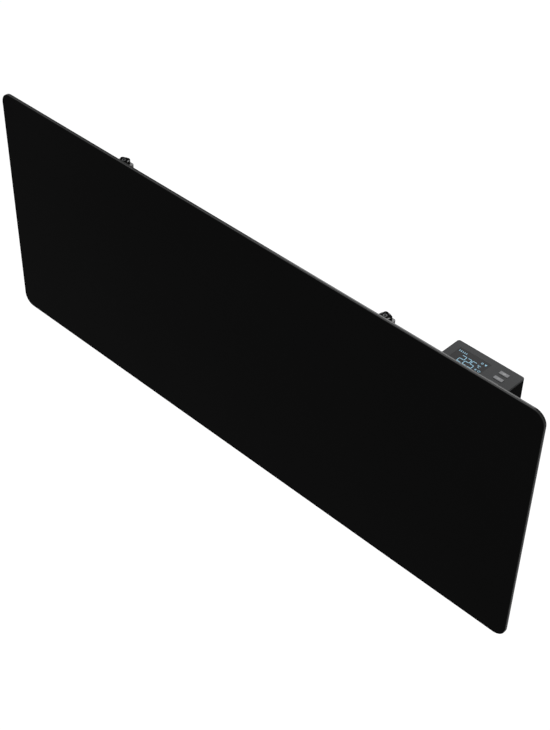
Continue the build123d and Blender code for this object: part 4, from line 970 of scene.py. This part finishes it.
# %% [markdown]
# ## Marks on the keys and the switch
# The marks are printed pads: a ring with a bar for power, an arrow up and down, and a bar and a ring at
# the rocker's two ends. A picture on each would need unwrapping, but the display's bars serve here too,
# riding on what they are printed on. The rocker's face is curved, so a ray finds the place and the slope
# under each of its marks.

# %% Key marks
# in millimetres and degrees
KEY_STROKE = 0.55
POWER_DROP, POWER_RADIUS, POWER_BAR_TOP = 0.2, 1.35, 1.6
POWER_START, POWER_END = 125, 415
ARROW_REACH, ARROW_LIFT = 1.7, 0.7


def key_mark(ground, node):
    """Spots of the mark on one key."""
    x, y, _ = middle_of(node) / MM
    if node == "key_power":
        low = y - POWER_DROP
        ring = arc_of_cells(ground, x, low, POWER_RADIUS, KEY_STROKE, POWER_START, POWER_END, 9)
        return ring + [cell(ground, x, low, x, y + POWER_BAR_TOP, KEY_STROKE)]
    lift = ARROW_LIFT if node == "key_up" else -ARROW_LIFT
    tips = [(x - ARROW_REACH, y - lift), (x, y + lift), (x + ARROW_REACH, y - lift)]
    return path_of_cells(ground, tips, KEY_STROKE)


for node in ("key_power", "key_up", "key_down"):
    key_ground = Matrix.Translation((0, 0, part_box(node)[1].z - CELL_SINK))
    mark_mesh = laid_out(f"mark_of_{node}", bar_shape(), key_mark(key_ground, node), MARK_PRINT)
    piece_of(f"mark_of_{node}", mark_mesh, node)

# %% Switch marks
SWITCH_MARK_OUT = 4.2 * MM
SWITCH_MARK_SIZE = 1.2
SWITCH_RING_STROKE, SWITCH_BAR_STROKE = 0.45, 0.55


def ground_below(node, x, y):
    """The plane that touches a node from below at x and y, a little sunk, looking out of it."""
    _, place, normal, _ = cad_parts[node].ray_cast(Vector((x, y, -1)), Vector((0, 0, 1)))
    across = Vector((0, 1, 0))
    along = across.cross(normal)
    turn = Matrix((along, across, normal)).transposed().to_4x4()
    return Matrix.Translation(place - normal * CELL_SINK) @ turn


switch = middle_of("rocker_frame")
off_ground = ground_below("rocker", switch.x - SWITCH_MARK_OUT, switch.y)
on_ground = ground_below("rocker", switch.x + SWITCH_MARK_OUT, switch.y)
switch_spots = arc_of_cells(off_ground, 0, 0, SWITCH_MARK_SIZE, SWITCH_RING_STROKE, count=12)
switch_spots += [cell(on_ground, 0, -SWITCH_MARK_SIZE, 0, SWITCH_MARK_SIZE, SWITCH_BAR_STROKE)]
switch_mesh = laid_out("switch_marks", bar_shape(), switch_spots, MARK_PRINT)
piece_of("switch_marks", switch_mesh, "rocker")

# %% [markdown]
# ## Gland nut and feet
# The gland's nut is a hexagon bar turned to a dome at its nose. A Boolean of a hexagon and a ball leaves
# slivers that shade badly; as a stack of rings its radius is the smaller of the two at each height. Rings
# moulded into the wall side of each rubber foot grip the wallpaper, so they are real grooves of the same
# stack.

# %% Gland nut
DOME_LENGTH = 5.5 * MM
DOME_FLAT = 4.6 * MM
DOME_OVER = 0.05 * MM
DOME_STEPS = 9
NUT_EDGE = 0.5 * MM
MOUTH = 4.3 * MM
THREAD_BORE = 8.0 * MM
SEAL_SEAT = 2.5 * MM


def turned_down(ring, radius):
    """A ring cut back to a radius wherever it reaches past it."""
    return lambda angle, height: min(ring(angle, height), radius)


nut_low, nut_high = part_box("gland_cap")
nut_corner = (nut_high.x - nut_low.x) / 2
hexagon = hex_ring(nut_high.y - nut_low.y)
nut_levels = [(nut_low.z, MOUTH), (nut_low.z, nut_corner - DOME_FLAT)]
for step in range(1, DOME_STEPS + 1):
    swing = math.pi / 2 * step / DOME_STEPS
    dome = nut_corner - DOME_FLAT + (DOME_FLAT + DOME_OVER) * math.sin(swing)
    nut_levels.append((nut_low.z + DOME_LENGTH * (1 - math.cos(swing)), turned_down(hexagon, dome)))
nut_levels += [
    (nut_high.z - NUT_EDGE, hexagon), (nut_high.z, turned_down(hexagon, nut_corner - 2 * NUT_EDGE)),
    (nut_high.z, THREAD_BORE), (nut_low.z + SEAL_SEAT, THREAD_BORE), (nut_low.z + SEAL_SEAT, MOUTH),
]
stacked_piece(
    "domed_gland_nut", nut_levels, upright_axis("gland_cap"), GLAND_NYLON,
    "root", ["gland_cap"], hollow=True,
)

# %% Rubber feet
FOOT_POCKET = 4.0 * MM
FOOT_ROLL = 1.2 * MM
FOOT_EDGE = 0.4 * MM
GROOVE_RIMS = (7.4 * MM, 5.2 * MM, 3.0 * MM)
GROOVE_DEPTH = 0.6 * MM
GROOVE_SLOPE = 0.3 * MM
GROOVE_WIDTH = 1.2 * MM

for side in SIDES:
    low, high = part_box(f"bumper_{side}")
    radius = (high.x - low.x) / 2
    thickness = high.y - low.y
    foot_levels = [
        (thickness / 2, FOOT_POCKET), (0, FOOT_POCKET), (0, radius - FOOT_EDGE), (FOOT_EDGE, radius),
    ]
    for step in range(5):
        swing = math.pi / 2 * step / 4
        rolled = radius - FOOT_ROLL * (1 - math.cos(swing))
        foot_levels.append((thickness - FOOT_ROLL * (1 - math.sin(swing)), rolled))
    deep = thickness - GROOVE_DEPTH
    for outer in GROOVE_RIMS:
        inner = outer - GROOVE_WIDTH
        foot_levels += [(thickness, outer), (deep, outer - GROOVE_SLOPE)]
        foot_levels += [(deep, inner + GROOVE_SLOPE), (thickness, inner)]
    foot = middle_of(f"bumper_{side}")
    to_wall = Matrix.Translation((foot.x, low.y, foot.z)) @ Matrix.Rotation(-math.pi / 2, 4, "X")
    stacked_piece(
        f"ringed_foot_{side}", foot_levels, to_wall, BUMPER_RUBBER,
        "root", [f"bumper_{side}"],
    )

# %% [markdown]
# ## Screws
# Every screw is the same turned shape in another size: a thread-forming shank with a conical point under
# a cylinder head with a broached socket. Each could be modelled by itself, but made from six numbers it
# takes one line. The start points are the heads' seats, and each carries the way its screw points.

# %% Screw shape
def screw_shape(shank, length, head, head_height, flats, pitch):
    """Screw in millimetres, shank and head by their radii; it hangs down from its seat at height 0."""
    thread = thread_ring(shank, 0.16 * shank, pitch)
    # depth, point and run-out are shares of the shank, and the head's levels are shares of its height
    points, faces = stacked([
        (-length, 0.25 * shank),
        *thread_levels(-length + shank, -0.2 * shank, pitch, thread, rows=6),
        (0, shank), (0, head), (head_height * 0.8, head), (head_height, head * 0.9),
        (head_height, hex_ring(flats)), (head_height * 0.35, hex_ring(flats)),
    ])
    return mesh_of("screw", [point * MM for point in points], faces)


def screw_set(name, sizes, seats, aim, stands_for):
    """All the screws of one size as one piece; a seat is where the underside of a head lies."""
    spots = [(seat, aim, (1, 1, 1)) for seat in seats]
    mesh = laid_out(name, screw_shape(**sizes), spots, ZINC_TURNED)
    piece_of(name, mesh, "root", [stands_for])


print("screw helpers ready")

# %% Screws in their places
TO_WALL = (-math.pi / 2, 0, 0)
TO_ROOM = (math.pi / 2, 0, 0)
COVER_SCREW = {"shank": 1.4, "length": 17.9, "head": 3.0, "head_height": 2.4, "flats": 2.5, "pitch": 1.0}
COVER_SCREW_ACROSS = 43 * MM
COVER_SCREW_HEIGHTS = (-50 * MM, 46 * MM)
SPACER_SCREW = {"shank": 2.5, "length": 14.9, "head": 4.4, "head_height": 2.9, "flats": 4.0, "pitch": 0.8}
SPACER_HEAD_ROOM = 3 * MM

box_middle = middle_of("control_cover").x
cover_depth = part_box("cover_screws")[1].y - COVER_SCREW["head_height"] * MM
columns = (box_middle - COVER_SCREW_ACROSS, box_middle + COVER_SCREW_ACROSS)
cover_seats = [Vector((x, cover_depth, z)) for x in columns for z in COVER_SCREW_HEIGHTS]
screw_set("cover_screw_set", COVER_SCREW, cover_seats, TO_WALL, "cover_screws")

spacer_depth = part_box("spacer_screws")[0].y + SPACER_HEAD_ROOM
height = middle_of("spacer_screws").z
spacer_seats = [Vector((middle_of(node).x, spacer_depth, height)) for node in both("lower_spacer")]
screw_set("spacer_screw_set", SPACER_SCREW, spacer_seats, TO_ROOM, "spacer_screws")

# %% [markdown]
# ## Weld beads
# The gusset is welded into each hook by hand, along the plate and under the arm, on both sides. Painted
# ripples would show no edge against the light. A bead is a half-sunk tube that swells with each step of
# the torch, so a tree runs a circle along the seam and lets its size follow the length travelled.

# %% Weld form
def weld_form():
    """Tree that runs a rippled round bead along every start edge."""
    form = Form("weld_bead", {"Radius": "Float", "Step": "Float", "Swell": "Float"})
    given = form.given
    seam = form.node("GeometryNodeMeshToCurve", sockets={"Mesh": given["Geometry"]})
    sockets = {"Curve": seam, "Length": given["Step"] * 0.16}
    sampled = form.node("GeometryNodeResampleCurve", {"mode": "LENGTH"}, sockets)
    travelled = form.node("GeometryNodeSplineParameter", output="Length")
    ripple = (travelled * (2 * math.pi) / given["Step"]).math("SINE")
    size = given["Radius"] * (1.0 + ripple * given["Swell"])
    round_profile = form.node("GeometryNodeCurvePrimitiveCircle", sockets={"Resolution": 14})
    sockets = {"Curve": sampled, "Profile Curve": round_profile, "Scale": size, "Fill Caps": True}
    bead = form.node("GeometryNodeCurveToMesh", sockets=sockets)
    form.end(form.node("GeometryNodeSetShadeSmooth", sockets={"Geometry": bead}))
    return form


WELD_FORM = weld_form()
print("weld form has", len(WELD_FORM.node_tree.nodes), "nodes")

# %% Welds on the wall hooks
BEAD_SETTINGS = {"Radius": 0.9 * MM, "Step": 1.5 * MM, "Swell": 0.13, "Finish": HOOK_COAT}
GUSSET_FACE = 1.7 * MM
PLATE_FACE, PLATE_SEAM = -3.2 * MM, (3.5 * MM, 26.5 * MM)
ARM_FACE, ARM_SEAM = 27.8 * MM, (-4.5 * MM, -24.5 * MM)

for side in SIDES:
    middle = middle_of(f"wall_hook_{side}").x
    seam_ends = []
    for x in (middle - GUSSET_FACE, middle + GUSSET_FACE):
        seam_ends += [(x, PLATE_FACE, z) for z in PLATE_SEAM]
        seam_ends += [(x, y, ARM_FACE) for y in ARM_SEAM]
    seams = [(start, start + 1) for start in range(0, len(seam_ends), 2)]
    bead_mesh = grown("weld_beads", WELD_FORM, mesh_of("seams", seam_ends, [], seams), BEAD_SETTINGS)
    piece_of(f"weld_beads_{side}", bead_mesh, "root")
